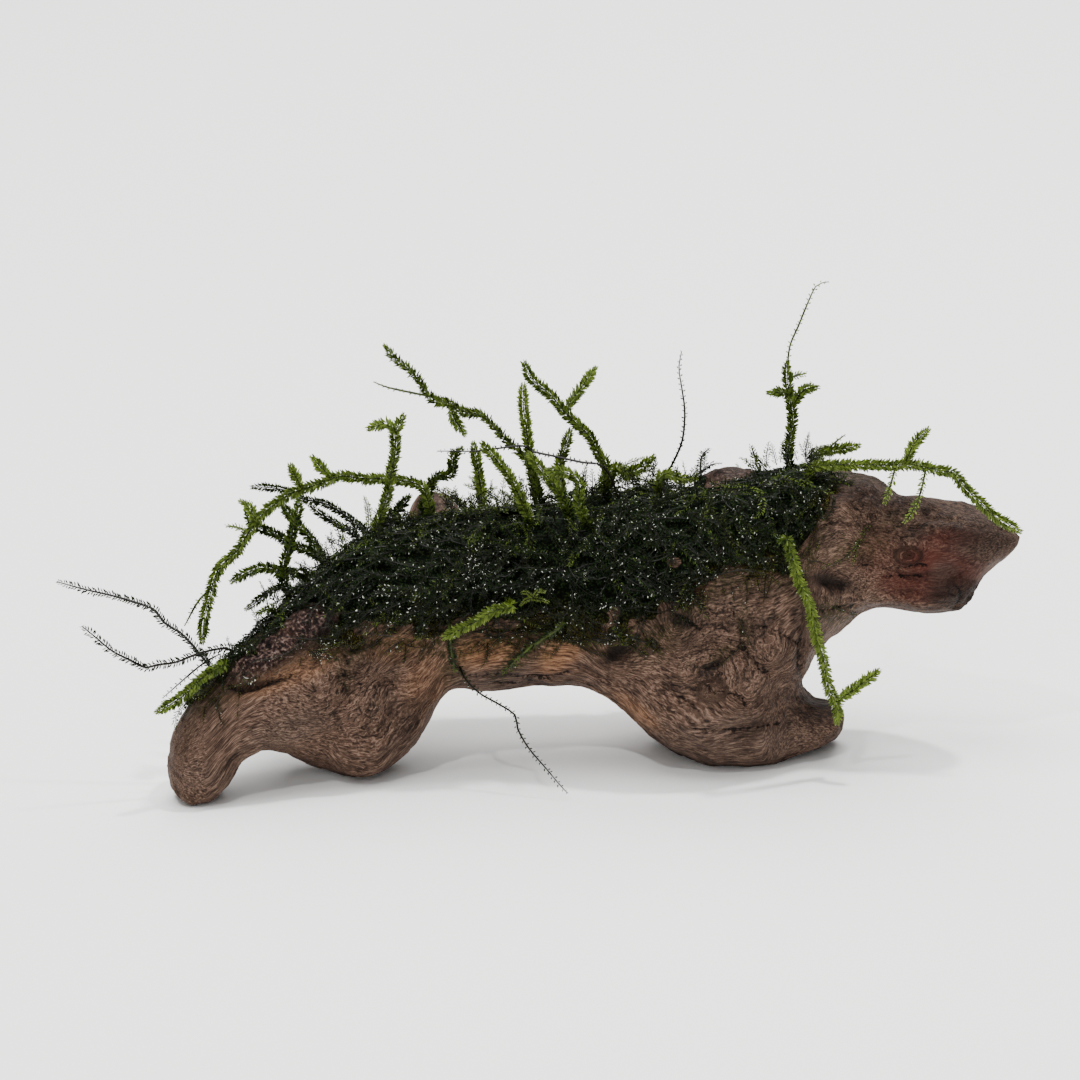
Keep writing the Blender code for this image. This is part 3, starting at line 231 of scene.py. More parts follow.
# Shoots, from root to tip: kind, tint of the leaves from 0, nearly black, to 1, yellow-green, depth at the
# root and at the tip, points (across, rise), then side shoots: (kind, depth added at the tip, points)
SHOOTS = {
    "moss_far_left_upper": ("sparse", 0.12, -15, -11, [
        (-58.5, -24), (-62.5, -19), (-65, -16.5), (-67.5, -15), (-69.5, -12.5), (-72, -11.5),
        (-77, -10), (-81.5, -9), (-87, -7.5)], []),
    "moss_far_left_lower": ("sparse", 0.12, -20, -27, [
        (-53.5, -19), (-59, -19.8), (-62.5, -20.8), (-65.5, -22), (-69, -22.5), (-71, -23),
        (-74, -21.5), (-77, -20), (-80, -17.5), (-82.5, -15.5)], []),
    "moss_foot_leafy": ("leafy", 0.62, -24, -31, [
        (-57, -22.5), (-61, -25), (-63, -27), (-65.5, -29), (-69, -31)], []),
    "moss_foot_bare": ("bare", 0.1, -17, -20, [(-57.5, -20.5), (-61, -22.5), (-68, -28.5)], []),
    "moss_arch": ("leafy", 0.62, 3, -12, [
        (-21, 9.5), (-23.5, 10.5), (-28.5, 11), (-31.5, 11), (-36, 11.5), (-38.5, 10.5), (-41.5, 9.5),
        (-44.5, 8.5), (-47, 7), (-50, 4.5), (-53, 0.5), (-54.5, -2), (-58, -5.5), (-59.5, -10.5),
        (-60.5, -14.5), (-60.8, -18.5)],
        [("leafy", 1, [(-37.5, 11), (-39.5, 13.2), (-41, 15)]),
         ("leafy", -1, [(-42.8, 9), (-44, 11.5), (-45, 13.5)]),
         ("leafy", 2, [(-51, 3), (-52.3, 5.8), (-54, 7)]),
         ("sparse", 1, [(-52.5, 1.5), (-54.5, 2.3), (-56.5, 2.5)]),
         ("bare", -1, [(-59, -8.5), (-61.5, -11), (-64, -15.5)])]),
    "moss_left_high": ("leafy", 0.42, -7, -9, [
        (-38, -5), (-41.5, -5.5), (-46, -6), (-49.5, -5), (-53, -6), (-55.5, -7.5)], []),
    "moss_left_middle": ("twiggy", 0.26, -12, -15, [
        (-44, -9), (-46.5, -8.3), (-49, -9.5), (-51.5, -11.5), (-53, -12.5)], []),
    "moss_left_low": ("twiggy", 0.45, -17, -18, [(-45, -13), (-47, -11.8), (-51, -13.3)], []),
    "moss_shoulder_dark": ("twiggy", 0.28, 5, 9, [
        (-31, 1.5), (-33, 3), (-36, 5), (-38.5, 6.5), (-43, 7.5), (-46, 9), (-49.5, 9.5),
        (-52, 9.5)], []),
    "moss_shoulder_short": ("twiggy", 0.26, 1, 2, [(-31.5, 0), (-35, 2), (-38.5, 4), (-41.5, 6.2)], []),
    "moss_shoulder_low": ("leafy", 0.34, -4, 3, [
        (-37.5, -4), (-41.5, -2), (-44.5, -0.8), (-47.5, 1), (-51, 2.5), (-53, 5.5)], []),
    "moss_shoulder_upright": ("leafy", 0.4, -11, -11, [
        (-46, -10.5), (-46, -7.5), (-46, -4), (-45, -1), (-44.5, 2), (-43.5, 5.5), (-43.5, 7.5)], []),
    "moss_shoulder_back": ("leafy", 0.42, 9, 15, [
        (-39, -3.5), (-41.5, 0.5), (-43.5, 2.5), (-45, 4.5), (-46.5, 6.5)], []),
    "moss_bushy": ("leafy", 0.62, -3, -1, [
        (-30, 1.5), (-28.5, 5), (-27.5, 8), (-27, 11), (-26.5, 13.5), (-26, 16.5), (-26, 19.5),
        (-24.5, 22.5)],
        [("leafy", 2, [(-26, 19), (-27.3, 20.8), (-28.5, 20.8), (-31, 20)])]),
    "moss_bushy_short": ("leafy", 0.3, 7, 9, [(-30, 2), (-26, 5), (-23.5, 8)], []),
    "moss_slanting": ("leafy", 0.52, 6, 14, [
        (0, 9), (-1.5, 13), (-3.5, 15.5), (-6, 18), (-8.5, 20.5), (-10.5, 22.5), (-13.5, 23),
        (-16, 24.5), (-18.5, 25), (-20.5, 26.5), (-22, 29), (-24, 31), (-26, 32.5), (-28, 35)],
        [("leafy", -3, [(-16, 24.3), (-15.5, 22), (-13.5, 19)]),
         ("bare", 1, [(-19.5, 25.8), (-23, 26.5), (-27.5, 27.5), (-30, 28.5)])]),
    "moss_crown_upright": ("leafy", 0.78, 12, 15, [
        (-10.5, 5), (-10.5, 8.5), (-11, 11.5), (-11.5, 15), (-12, 17.5)], []),
    "moss_crown_level": ("bare", 0.15, 1, -2, [
        (13, 11), (11, 13.5), (7.5, 14), (3, 15), (-1.5, 16), (-3, 17), (-7.5, 16.5), (-12, 16),
        (-16, 16), (-18.5, 16)], []),
    "moss_crown_left": ("leafy", 0.42, 5, 4, [(-21, 6), (-19, 11), (-16, 12), (-15.5, 15), (-14, 16.5)], []),
    "moss_crown_dark": ("leafy", 0.66, -5, -7, [(-2, 4), (-5, 10.5), (-7.5, 14), (-10.5, 17.5)], []),
    "moss_pair_left": ("leafy", 0.86, 10, 10, [(-0.5, 6), (-2, 16.5), (-2.5, 20.5), (-3, 24), (-3, 28)], []),
    "moss_pair_right": ("leafy", 0.58, 4, 5, [
        (12, 8), (11.5, 10.5), (12, 13.5), (10.5, 15.5), (9, 18.5), (6.5, 21), (4, 23.5), (2, 26),
        (-1.5, 29), (-3, 32)],
        [("leafy", 3, [(4.6, 23), (6, 25.5), (7.5, 27.5), (10, 31)])]),
    "moss_middle_slanting": ("leafy", 0.7, -4, -4, [(5, 6), (2.5, 10), (0, 13), (-2, 15.5)], []),
    "moss_middle_low": ("leafy", 0.6, -8, -8, [(7, 6), (7, 10.2), (5.5, 11.8), (3, 12.5), (1, 12.5)], []),
    "moss_middle_back": ("leafy", 0.66, 14, 16, [(4, 6), (3.5, 12.5), (4, 15), (5.5, 20)], []),
    "moss_middle_right": ("leafy", 0.66, 9, 8, [
        (11.5, 8), (13.5, 13), (15.5, 12.3), (18, 13), (20.5, 15)], []),
    "moss_tall_bare": ("bare", 0.1, 9, 12, [
        (23, 7), (22.5, 11), (24, 14), (25.5, 17.5), (26, 21), (26, 24), (25.5, 27.5), (25, 31),
        (25.5, 34)], []),
    "moss_ridge_feathery": ("leafy", 0.72, 1, 1, [(20.5, 8), (22, 11.7), (25, 11.3), (28, 10.5)], []),
    "moss_ridge_dark": ("sparse", 0.22, 15, 25.2, [(29, 8), (29, 14.5), (30.5, 16.5)], []),
    "moss_ridge_short": ("sparse", 0.3, 13, 13, [(40, 8), (39, 13.5), (38, 17)], []),
    "moss_tall_right": ("leafy", 0.52, 7, 12, [
        (44, 10), (44.5, 14), (45, 18.5), (45.5, 22), (45, 25), (44.5, 29.5), (44.5, 32)],
        [("leafy", 1, [(45.2, 26), (44, 26.6), (41, 26.5)]),
         ("leafy", -2, [(45.4, 24), (47.5, 27), (50, 27.5)]),
         ("sparse", 0, [(44.6, 29), (46, 29.6), (48, 30)]),
         ("bare", 2, [(44.5, 31), (45, 35), (46.5, 38.5), (47.5, 41), (49, 44.5), (50, 46), (52, 46.5)])]),
    "moss_right_back": ("leafy", 0.72, 12, 15, [(45.5, 12), (48, 15), (51.5, 16), (55, 16.5), (57.5, 17)],
        [("bare", 1, [(51.5, 16), (53, 17.5), (55, 19)])]),
    "moss_along_branch": ("leafy", 0.7, 1, -8, [
        (46, 10), (49, 13), (53.5, 13.5), (58.5, 13.5), (63.5, 13.5), (67.5, 13.5), (72, 12.5),
        (74.5, 12), (76.5, 9.5), (79, 7), (81.5, 4.5), (84, 3), (86.5, 1.5)],
        [("leafy", 1, [(65.5, 13.2), (66.2, 15), (67.5, 17.5), (70, 20)]),
         ("sparse", -1, [(64, 13.2), (63, 9.5), (62, 6.5)]),
         ("sparse", -2, [(69.5, 13), (68.5, 8.5), (67, 5), (65.5, 3)])]),
    "moss_hanging_right": ("leafy", 0.82, -18, -13, [
        (44.5, 0), (46.5, -7), (48.5, -11.5), (49.5, -16.5), (51, -21.5), (52, -26.5), (53.5, -30),
        (53.5, -33)],
        [("leafy", -2, [(53.2, -29.2), (57, -26.5), (61, -23.5)])]),
    "moss_hanging_bridge": ("bare", 0.12, -16, -25.5, [
        (-13.5, -25), (-11, -27.5), (-7.5, -29.5), (-4.5, -31.5), (-4, -34), (-2, -37.5), (1, -41),
        (3.5, -44), (5, -45.6)], []),
}

# Length over which a shoot comes out of the mat's shade, in millimetres, and where it is another
SHADED_LENGTH = 4.0
SHADED_LENGTHS = {
    "moss_hanging_right": 14.0, "moss_middle_slanting": 9.0, "moss_middle_low": 7.0, "moss_crown_dark": 6.0,
}

# Strands that lie on the front of the wood, from root to tip: kind, tint, points (across, rise)
LYING_STRANDS = {
    "moss_lying_bright": ("leafy", 0.75, [(-5.5, -11.5), (-9, -12.3), (-12, -13.8), (-18, -16.8)]),
    "moss_lying_middle": ("sparse", 0.3, [(4, -15), (-2, -19.3), (-7, -23)]),
    "moss_lying_left": ("sparse", 0.25, [(-16.5, -17.5), (-16.2, -20.5), (-15.5, -23)]),
}

# Rows of leaves round a stem: turn in degrees, offset and stride in spacings, whether it lies level
LEAF_ROWS = [
    (0.0, 0.3, 1.0, True), (180.0, 0.8, 1.0, True), (42.0, 0.5, 1.1, True), (222.0, 1.0, 1.1, True),
    (-42.0, 0.1, 1.1, True), (138.0, 0.6, 1.1, True), (90.0, 0.4, 1.8, False),
]
TWO_ROWS = LEAF_ROWS[:2]
FEW_ROWS = TWO_ROWS + [(75.0, 0.5, 1.4, False), (255.0, 1.1, 1.4, False)]
# Leaves of each kind of shoot, in millimetres: spacing along the stem, length, width, thickness of the stem,
# then their rows and the segments round a leaf
FINE = 6
COARSE = 3
LEAF_KINDS = {
    "leafy": (0.25, 1.3, 0.32, 0.42, LEAF_ROWS, FINE),
    "twiggy": (0.3, 0.95, 0.26, 0.42, LEAF_ROWS, FINE),
    "young": (0.3, 0.9, 0.3, 0.26, LEAF_ROWS, COARSE),
    "sparse": (0.5, 0.9, 0.34, 0.52, FEW_ROWS, FINE),
    "bare": (1.0, 0.5, 0.28, 0.44, TWO_ROWS, FINE),
    "mat": (0.48, 0.98, 0.44, 0.2, FEW_ROWS, COARSE),
    "wisp": (0.5, 0.6, 0.28, 0.16, FEW_ROWS, COARSE),
}

# Leaves stand off their stem at an angle in degrees, less at its tip, and are smaller over its ends
LEAF_ANGLE = 54.0
TIP_ANGLE = 18.0
SMALL_AT_TIP = 2.2
SMALL_AT_ROOT = 2.0

# Thin strands that stray over the bare wood on the front: kind, tint, age, points (across, rise)
WISPS = [
    ("wisp", 0.25, 0.3, [(33.5, -5), (34.6, -9), (35.4, -12.5), (37, -17), (38.6, -19.6)]),
    ("wisp", 0.2, 0.4, [(37.4, -17.4), (34.4, -20.6), (31.2, -22.8)]),
    ("wisp", 0.3, 0.5, [(24.5, -12), (22.4, -15.4), (19.6, -18.4), (18, -21)]),
    ("wisp", 0.35, 0.5, [(27, -10), (25, -15), (22.6, -18.4)]),
    ("wisp", 0.3, 0.3, [(-17.4, -16), (-16.6, -19.4), (-15, -22.6), (-13, -25)]),
    ("wisp", 0.3, 0.2, [(4.5, -13.2), (2.4, -17), (0.4, -20.4)]),
    ("wisp", 0.25, 0.3, [(7.4, -11.8), (4.6, -17.5), (1.8, -21)]),
    ("wisp", 0.4, 0.1, [(58.4, 0.5), (54, -3.6), (50.5, -5)]),
    ("wisp", 0.45, 0.1, [(60, 4), (57.4, 0), (56, -4.4)]),
    ("wisp", 0.3, 0.4, [(50, -10.4), (53, -12), (57, -13)]),
    ("wisp", 0.2, 0.3, [(-31, -14), (-32, -18.6), (-34.6, -22)]),
    ("wisp", 0.15, 0.2, [(-44, -18.4), (-40, -21), (-36, -21.6)]),
    ("wisp", 0.15, 0.2, [(-52, -22), (-46, -20.4), (-42, -17.6)]),
    ("wisp", 0.5, 0.2, [(-42, -19.6), (-39.5, -20.2), (-36.5, -19)]),
    ("wisp", 0.45, 0.2, [(-41, -20.8), (-38, -19.4), (-35.5, -18)]),
    ("wisp", 0.4, 0.1, [(-40.4, -19), (-38.4, -20.8), (-37, -21.8)]),
    ("wisp", 0.4, 0.2, [(-54, -24.6), (-50, -24.2), (-46.5, -22.4)]),
    ("young", 0.75, 0.1, [(-1.3, -10.2), (-2.6, -9.2), (-3.4, -9.4)]),
    ("young", 0.7, 0.1, [(-1.3, -10.2), (-0.4, -9), (0.8, -9.2)]),
    ("young", 0.75, 0.1, [(-1.5, -10.4), (0.2, -10.6), (1.4, -11)]),
    ("young", 0.7, 0.1, [(-1.2, -10), (-2.8, -10.8), (-3.6, -11.6)]),
]

# Seeds of the random draws
MAT_SEED = 11
WISP_SEED = 23
SHOOT_SEED = 37
TUFT_SEED = 51
FRINGE_SEED = 67
CROWN_SEED = 83
WINDOW_AND_PAINTED_GLINT_SEED = 97

# Share of the leaves whose tips get a painted glint: near-white colour painted on the tip point
PAINTED_GLINT_SHARE = 0.05
# Places on the front where more leaves get the painted glint: (across, rise, half length, half width, turn,
# added share)
PAINTED_GLINT_SPOTS = [
    (12.3, -13.3, 1.4, 3.4, 0, 0.4), (-27.5, -11.0, 6.0, 4.0, 0, 0.07), (-39.0, -20.0, 2.6, 1.4, 20, 0.3),
    (-11.5, -5.3, 2.6, 2.2, 0, 0.12), (-46.0, -17.0, 6.0, 2.0, 30, 0.06), (-50.0, -24.0, 5.0, 1.4, 15, 0.35),
]

# The mat, in millimetres: its pieces from left to right, the step of its strands with their bend and waver
# in radians a step, how deep they sink, and how far the thatch lies inside the frame's solid
MAT_PARTS = {
    "moss_mat_left": (-90.0, -30.0),
    "moss_mat_shoulder": (-30.0, -8.0),
    "moss_mat_crown": (-8.0, 12.0),
    "moss_mat_ridge": (12.0, 32.0),
    "moss_mat_right": (32.0, 90.0),
}
WALK_STEP = 0.6
WALK_BEND = 0.05
WALK_WAVER = 0.09
MAT_SINK = 2.0
MAT_THICKNESS = 4.6
CORE_INSET = 2.7
CORE_LUMPS = 0.8
# The way the mat's strands run, in degrees in the picture plane: down the left limb, down on the right
LIE_ACROSS = (-60.0, -25.0, -5.0, 15.0, 35.0, 50.0)
LIE_ANGLES = (212.0, 205.0, 225.0, 290.0, 270.0, 265.0)

# Short strands, in millimetres: the crown stands behind a depth, and is low from the ridge on
FRINGE_LENGTHS = (2.5, 7.5)
CROWN_REACH = (-34.0, 54.0)
CROWN_DEPTH = 8.0
CROWN_LENGTHS = (3.0, 10.0)
RIDGE_FROM = 17.0
RIDGE_LENGTHS = (1.5, 4.0)
TUFT_LENGTHS = (1.5, 4.8)

# Lights: width, the setting of its power and its share of that, place in metres
LIGHTS = {
    "back_light": (1.2, "back_power", 1.0, (0.2, 1.0, 1.2)),
    "top_light": (0.9, "top_power", 1.0, (-0.25, -0.1, 1.4)),
    "front_fill": (1.0, "fill_power", 1.0, (-0.3, -1.5, 0.9)),
    "spark_light": (0.07, "spark_power", 1.0, (0.35, 0.1, 1.1)),
    "front_spark_light": (0.05, "spark_power", 0.5, (-0.3, -0.7, 1.1)),
}
LIGHT_TARGET = Vector((0.0, 0.0, 0.04))

# Sockets of a Mix node for colours, which have the same names as those for its other kinds of values
MIX_SHARE = 0
MIX_UNDER = 6
MIX_OVER = 7
MIX_RESULT = 2


def linear(code):
    """A colour given as sRGB hex, as linear red, green, blue and 1 for alpha."""
    channels = [int(code[place:place + 2], 16) / 255.0 for place in (1, 3, 5)]
    straight = [c / 12.92 if c <= 0.04045 else ((c + 0.055) / 1.055) ** 2.4 for c in channels]
    return (*straight, 1.0)


def node(tree, kind, inputs=(), stops=(), **settings):
    """Add a shader node and give its outputs.

    The inputs are values in order, or a dictionary of them: numbers, colours or other nodes' outputs.
    A colour ramp has stops as well: (place, colour).
    """
    made = tree.nodes.new("ShaderNode" + kind)
    for key, value in settings.items():
        setattr(made, key, value)
    for name, value in inputs.items() if isinstance(inputs, dict) else enumerate(inputs):
        if isinstance(value, bpy.types.NodeSocket):
            tree.links.new(value, made.inputs[name])
        else:
            made.inputs[name].default_value = value
    if stops:
        elements = made.color_ramp.elements
        while len(elements) < len(stops):
            elements.new(0.5)
        for element, (place, colour) in zip(elements, stops):
            element.position = place
            element.color = colour
    return made.outputs


def new_material(name):
    """A material without nodes, and a function that adds one to it."""
    material = bpy.data.materials.new(name)
    material.use_nodes = True
    material.node_tree.nodes.clear()
    return material, partial(node, material.node_tree)


def colours_of(settings, *names):
    """Some of the colours that a user sets, with 1 for alpha."""
    return [(*getattr(settings, name), 1.0) for name in names]


def wet_driftwood():
    """Waterlogged driftwood, worn by water: soft furrowed fibres, satin with wet, stained by algae."""
    settings = bpy.context.scene.moss_wood
    dark, middle, light, furrow = colours_of(settings, "dark", "middle", "light", "furrow")
    width = settings.fibre_width / MM
    material, add = new_material("Wet weathered driftwood")
    place = add("TexCoord")["Object"]
    stain_and_painted_shade = add("Attribute", attribute_name="stain_and_painted_shade")
    red, orange, algae = add("SeparateColor", {"Color": stain_and_painted_shade["Color"]})
    marks = add("Attribute", attribute_name="marks")["Color"]
    grey, bark, crumbled = add("SeparateColor", {"Color": marks})
    # Patterns that are the same every way: size in millimetres, detail, roughness
    jag, curl, crumbs, patches, speckle = (
        add("TexNoise", {"Vector": place, "Scale": 1.0 / (size * MM), "Detail": detail, "Roughness": rough})
        for size, detail, rough in (
            (0.9, 3.0, 0.6), (1.8, 2.0, 0.5), (0.42, 3.0, 0.65), (1.4, 2.0, 0.5), (0.7, 4.0, 0.65)))
    # Cracks with ragged sides
    jag = add("MapRange", (jag[0], 0.3, 0.7, -1.0, 1.5))[0]
    away = add("Math", (add("Attribute", attribute_name="crack")["Fac"], jag), operation="ADD")[0]
    split = add("MapRange", (away, 0.25, 1.0, 1.0, 0.0))[0]
    # The grain, which curls more where it crumbles
    curl = add("VectorMath", (curl["Color"], (0.5, 0.5, 0.5)), operation="SUBTRACT")[0]
    reach = add("MapRange", (crumbled, 0.0, 1.0, 0.35, 2.2))[0]
    curl = add("VectorMath", {0: curl, "Scale": reach}, operation="SCALE")[0]
    grain = add("Attribute", attribute_name="grain")["Vector"]
    grain = add("VectorMath", (grain, curl), operation="ADD")[0]
    # Patterns drawn out along the grain: length and width in millimetres, detail, roughness. The finest
    # are coarser than real fibres, so that they show
    broad, fibres, furrows = (
        add("TexNoise", {
            "Vector": add("Mapping", {"Vector": grain, "Scale": (1.0 / length, 1.0 / side, 1.0 / side)})[0],
            "Scale": 1.0, "Detail": detail, "Roughness": rough})[0]
        for length, side, detail, rough in (
            (7.0, 1.6, 2.0, 0.5), (3.2, 1.5 * width, 3.0, 0.65), (3.0, 2.2 * width, 2.0, 0.6)))
    line = add("MapRange", (furrows, 0.35, 0.45))[0]
    # Gaps between torn fibres, in patches
    cells = add("Mapping", {"Vector": grain, "Scale": (1.0 / 2.8, 1.0 / 1.3, 1.0 / 1.3)})[0]
    cells = add("TexVoronoi", {"Vector": cells, "Scale": 1.0}, feature="DISTANCE_TO_EDGE")["Distance"]
    gaps = add("MapRange", (cells, 0.02, 0.13, 1.0, 0.0))[0]
    patches = add("MapRange", (patches[0], 0.43, 0.55))[0]
    frayed = add("MapRange", (crumbled, 0.0, 1.0, 0.25, 0.95))[0]
    for share in (patches, frayed):
        gaps = add("Math", (gaps, share), operation="MULTIPLY")[0]
    # Light and dark of the fibres, broken up into crumbs
    crumbly = add("MapRange", (crumbled, 0.0, 1.0, 0.25, 1.0))[0]
    broken = add("Mix", {MIX_SHARE: crumbly, MIX_UNDER: fibres, MIX_OVER: crumbs[0]},
                 data_type="RGBA")[MIX_RESULT]
    tone = 0.0
    for pattern, weight in ((fibres, 0.6), (broad, 0.1), (broken, 0.3)):
        tone = add("Math", (pattern, weight, tone), operation="MULTIPLY_ADD")[0]
    wood = add("ValToRGB", [tone], ((0.38, dark), (0.5, middle), (0.62, light)))[0]
    warm, dull, film = (
        add("ValToRGB", [tone], ((low, linear(first)), (0.62, linear(second))))[0]
        for low, first, second in (
            (0.38, "#43291a", "#a97a56"), (0.38, "#1f1815", "#695a51"), (0.35, "#0c0e03", "#302f0f")))
    scaly = add("ValToRGB", [speckle[0]], (
        (0.4, linear("#0a0606")), (0.5, linear("#2c1c1a")), (0.6, linear("#6b564d")),
        (0.7, linear("#93837b"))))[0]
    thin = add("MapRange", (speckle[0], 0.38, 0.62))[0]
    groove = add("Math", (1.0, line), operation="SUBTRACT")[0]
    # Layers of colour from the wood up: where it lies, its strength, its colour
    for cover, strength, colour, blend_type in (
            (groove, 0.75, furrow, "MIX"), (gaps, 1.0, furrow, "MIX"),
            (red, 0.6, linear("#6b3028"), "OVERLAY"), (red, 0.55, linear("#4a1f19"), "MIX"),
            (orange, 0.62, warm, "MIX"), (grey, 0.6, dull, "MIX"), (algae, thin, film, "MIX"),
            # The alpha darkens towards near black: dark stains and marks, with painted shade on upward faces
            (bark, 1.0, scaly, "MIX"), (stain_and_painted_shade["Alpha"], 1.0, linear("#080504"), "MIX"),
            (split, 0.9, linear("#0a0605"), "MIX")):
        share = add("Math", (cover, strength), operation="MULTIPLY")[0]
        wood = add("Mix", {MIX_SHARE: share, MIX_UNDER: wood, MIX_OVER: colour}, data_type="RGBA",
                   blend_type=blend_type)[MIX_RESULT]
    height = 0.0
    for pattern, weight in (
            (fibres, 1.0), (line, 0.35), (speckle[0], bark), (split, -1.5), (gaps, -1.0), (crumbs[0], 1.0)):
        height = add("Math", (pattern, weight, height), operation="MULTIPLY_ADD")[0]
    bump = add("Bump", {"Height": height, "Strength": 0.9, "Distance": settings.fibre_depth})[0]
    rough = add("MapRange", (fibres, 0.3, 0.7, 0.5, 0.8))[0]
    shader = add("BsdfPrincipled", {
        "Base Color": wood, "Roughness": rough, "Normal": bump, "IOR": 1.3, "Specular IOR Level": 0.2})[0]
    add("OutputMaterial", [shader])
    return material


def moss_leaves():
    """Wet moss leaves, one cell thick: near black in the mat, glowing yellow-green against the light."""
    dark, deep, fresh, bright, glow = colours_of(
        bpy.context.scene.moss_growth, "dark", "deep", "fresh", "bright", "glow")
    material, add = new_material("Wet moss leaves")
    tint, age, painted_glint = (add("Attribute", attribute_name=name)["Fac"] for name in ("tint", "age", "painted_glint"))
    leaf = add("ValToRGB", [tint], ((0.0, dark), (0.3, deep), (0.52, fresh), (0.95, bright)))[0]
    old = add("ValToRGB", [tint], (
        (0.0, linear("#15120a")), (0.5, linear("#4a4119")), (1.0, linear("#7a6f36"))))[0]
    # Painted glint: near-white colour painted on the tips of some leaves, where wet leaves would catch the
    # light
    painted_glint = add("MapRange", (painted_glint, 0.35, 0.45))[0]
    for share, colour in ((age, old), (painted_glint, linear("#f4f6ea"))):
        leaf = add("Mix", {MIX_SHARE: share, MIX_UNDER: leaf, MIX_OVER: colour}, data_type="RGBA")[MIX_RESULT]
    shader = add("BsdfPrincipled", {
        "Base Color": leaf, "Roughness": 0.24, "IOR": 1.42, "Specular IOR Level": 0.25})[0]
    lit = add("Mix", {MIX_SHARE: 0.35, MIX_UNDER: leaf, MIX_OVER: glow}, data_type="RGBA")[MIX_RESULT]
    through = add("BsdfTranslucent", {"Color": lit})[0]
    share = add("MapRange", (tint, 0.0, 0.8, 0.03, 0.65))[0]
    add("OutputMaterial", [add("MixShader", (share, shader, through))[0]])
    return material


def moss_stems(name, colour):
    """Wiry moss stems, darker than the leaves, with a wet gloss."""
    material, add = new_material(name)
    place = add("TexCoord")["Object"]
    patches = add("TexNoise", {"Vector": place, "Scale": 1.0 / (1.6 * MM), "Detail": 2.0})[0]
    shade = add("ValToRGB", [patches], ((0.3, linear("#100f07")), (0.7, colour)))[0]
    shader = add("BsdfPrincipled", {
        "Base Color": shade, "Roughness": 0.4, "IOR": 1.42, "Specular IOR Level": 0.2})[0]
    add("OutputMaterial", [shader])
    return material


def moss_thatch_in_painted_shade():
    """Old stems and rotted leaves matted under the live moss, with brown and green specks; between the specks
    it goes near black, painted shade inside the mat.
    """
    material, add = new_material("Matted moss thatch in painted shade")
    place = add("TexCoord")["Object"]
    tangle = add("TexNoise", {"Vector": place, "Scale": 1.0 / (0.8 * MM), "Detail": 2.0})["Color"]
    bent = add("Mix", {MIX_SHARE: 1.2 * MM, MIX_UNDER: place, MIX_OVER: tangle}, data_type="RGBA",
               blend_type="ADD")[MIX_RESULT]
    away = add("TexVoronoi", {"Vector": bent, "Scale": 1.0 / (0.5 * MM), "Randomness": 1.0})["Distance"]
    # Painted shade: each speck darkens towards near black away from its middle, as leaves do deep in the mat
    live, rotted = (
        add("ValToRGB", [away], [(place, linear(code)) for place, code in zip((0.12, 0.34, 0.6), codes)])[0]
        for codes in (("#26391a", "#0d1608", "#020401"), ("#575021", "#322d10", "#171407")))
    edge = add("Attribute", attribute_name="edge")["Fac"]
    shade = add("Mix", {MIX_SHARE: edge, MIX_UNDER: live, MIX_OVER: rotted}, data_type="RGBA")[MIX_RESULT]
    bump = add("Bump", {"Height": away, "Strength": 1.0, "Distance": 0.3 * MM}, invert=True)[0]
    shader = add("BsdfPrincipled", {
        "Base Color": shade, "Roughness": 0.7, "Normal": bump, "IOR": 1.42, "Specular IOR Level": 0.05})[0]
    add("OutputMaterial", [shader])
    return material


def pale_floor():
    """A matt white sweep, which shows nothing but a soft shadow."""
    material, add = new_material("Matt white sweep")
    mottle = add("TexNoise", {"Vector": add("TexCoord")["Object"], "Scale": 3.0, "Detail": 2.0})[0]
    shade = add("ValToRGB", [mottle], ((0.3, linear("#f4f4f2")), (0.7, linear("#f8f8f6"))))[0]
    add("OutputMaterial", [add("BsdfPrincipled", {"Base Color": shade, "Roughness": 0.9})[0]])
    return material


def seen_at(across, rise, depth):
    """The point that is seen at (across, rise) from the front, at a depth, all in millimetres."""
    spot = AIM + Vector((across * MM, 0.0, 0.0)) + VIEW_UP * (rise * MM)
    share = (AIM.y + depth * MM - EYE.y) / (spot.y - EYE.y)
    return EYE + (spot - EYE) * share


def as_seen(points):
    """Across, rise and depth, in millimetres, of each row of an array."""
    line = points - np.array(EYE)
    reach = VIEW_DISTANCE / (line @ np.array(VIEW_DIRECTION))
    spots = np.array(EYE) + line * reach[:, None] - np.array(AIM)
    return spots[:, 0] / MM, spots @ np.array(VIEW_UP) / MM, (points[:, 1] - AIM.y) / MM


def spot_seen(point):
    """Across, rise and depth, in millimetres, of one point."""
    return (float(value[0]) for value in as_seen(np.array([point])))


def noise_over(places, shift=0.0):
    """Smooth noise between -1 and 1 at each row of an array; another shift gives another pattern."""
    return np.array([noise.noise(place) for place in (places + shift).tolist()])


def smooth_step(values, low, high):
    share = np.clip((values - low) / (high - low), 0.0, 1.0)
    return share * share * (3.0 - 2.0 * share)


def unit(vectors):
    return vectors / np.maximum(np.linalg.norm(vectors, axis=-1, keepdims=True), 1e-12)


def new_object(name, data):
    thing = bpy.data.objects.new(name, data)
    bpy.context.scene.collection.objects.link(thing)
    return thing


def add_modifier(thing, kind, **settings):
    modifier = thing.modifiers.new(kind.title(), kind)
    for key, value in settings.items():
        setattr(modifier, key, value)
    return modifier


def apply_modifiers(thing):
    """Make the object's mesh what its modifiers show."""
    graph = bpy.context.evaluated_depsgraph_get()
    mesh = bpy.data.meshes.new_from_object(thing.evaluated_get(graph))
    thing.modifiers.clear()
    thing.data = mesh


def merged_nodes(names):
    """Copies of frame nodes in one bmesh, their loose triangles merged."""
    bm = bmesh.new()
    for name in names:
        bm.from_mesh(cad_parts[name].data)
    bmesh.ops.remove_doubles(bm, verts=bm.verts, dist=MERGE_DISTANCE)
    bm.normal_update()
    return bm


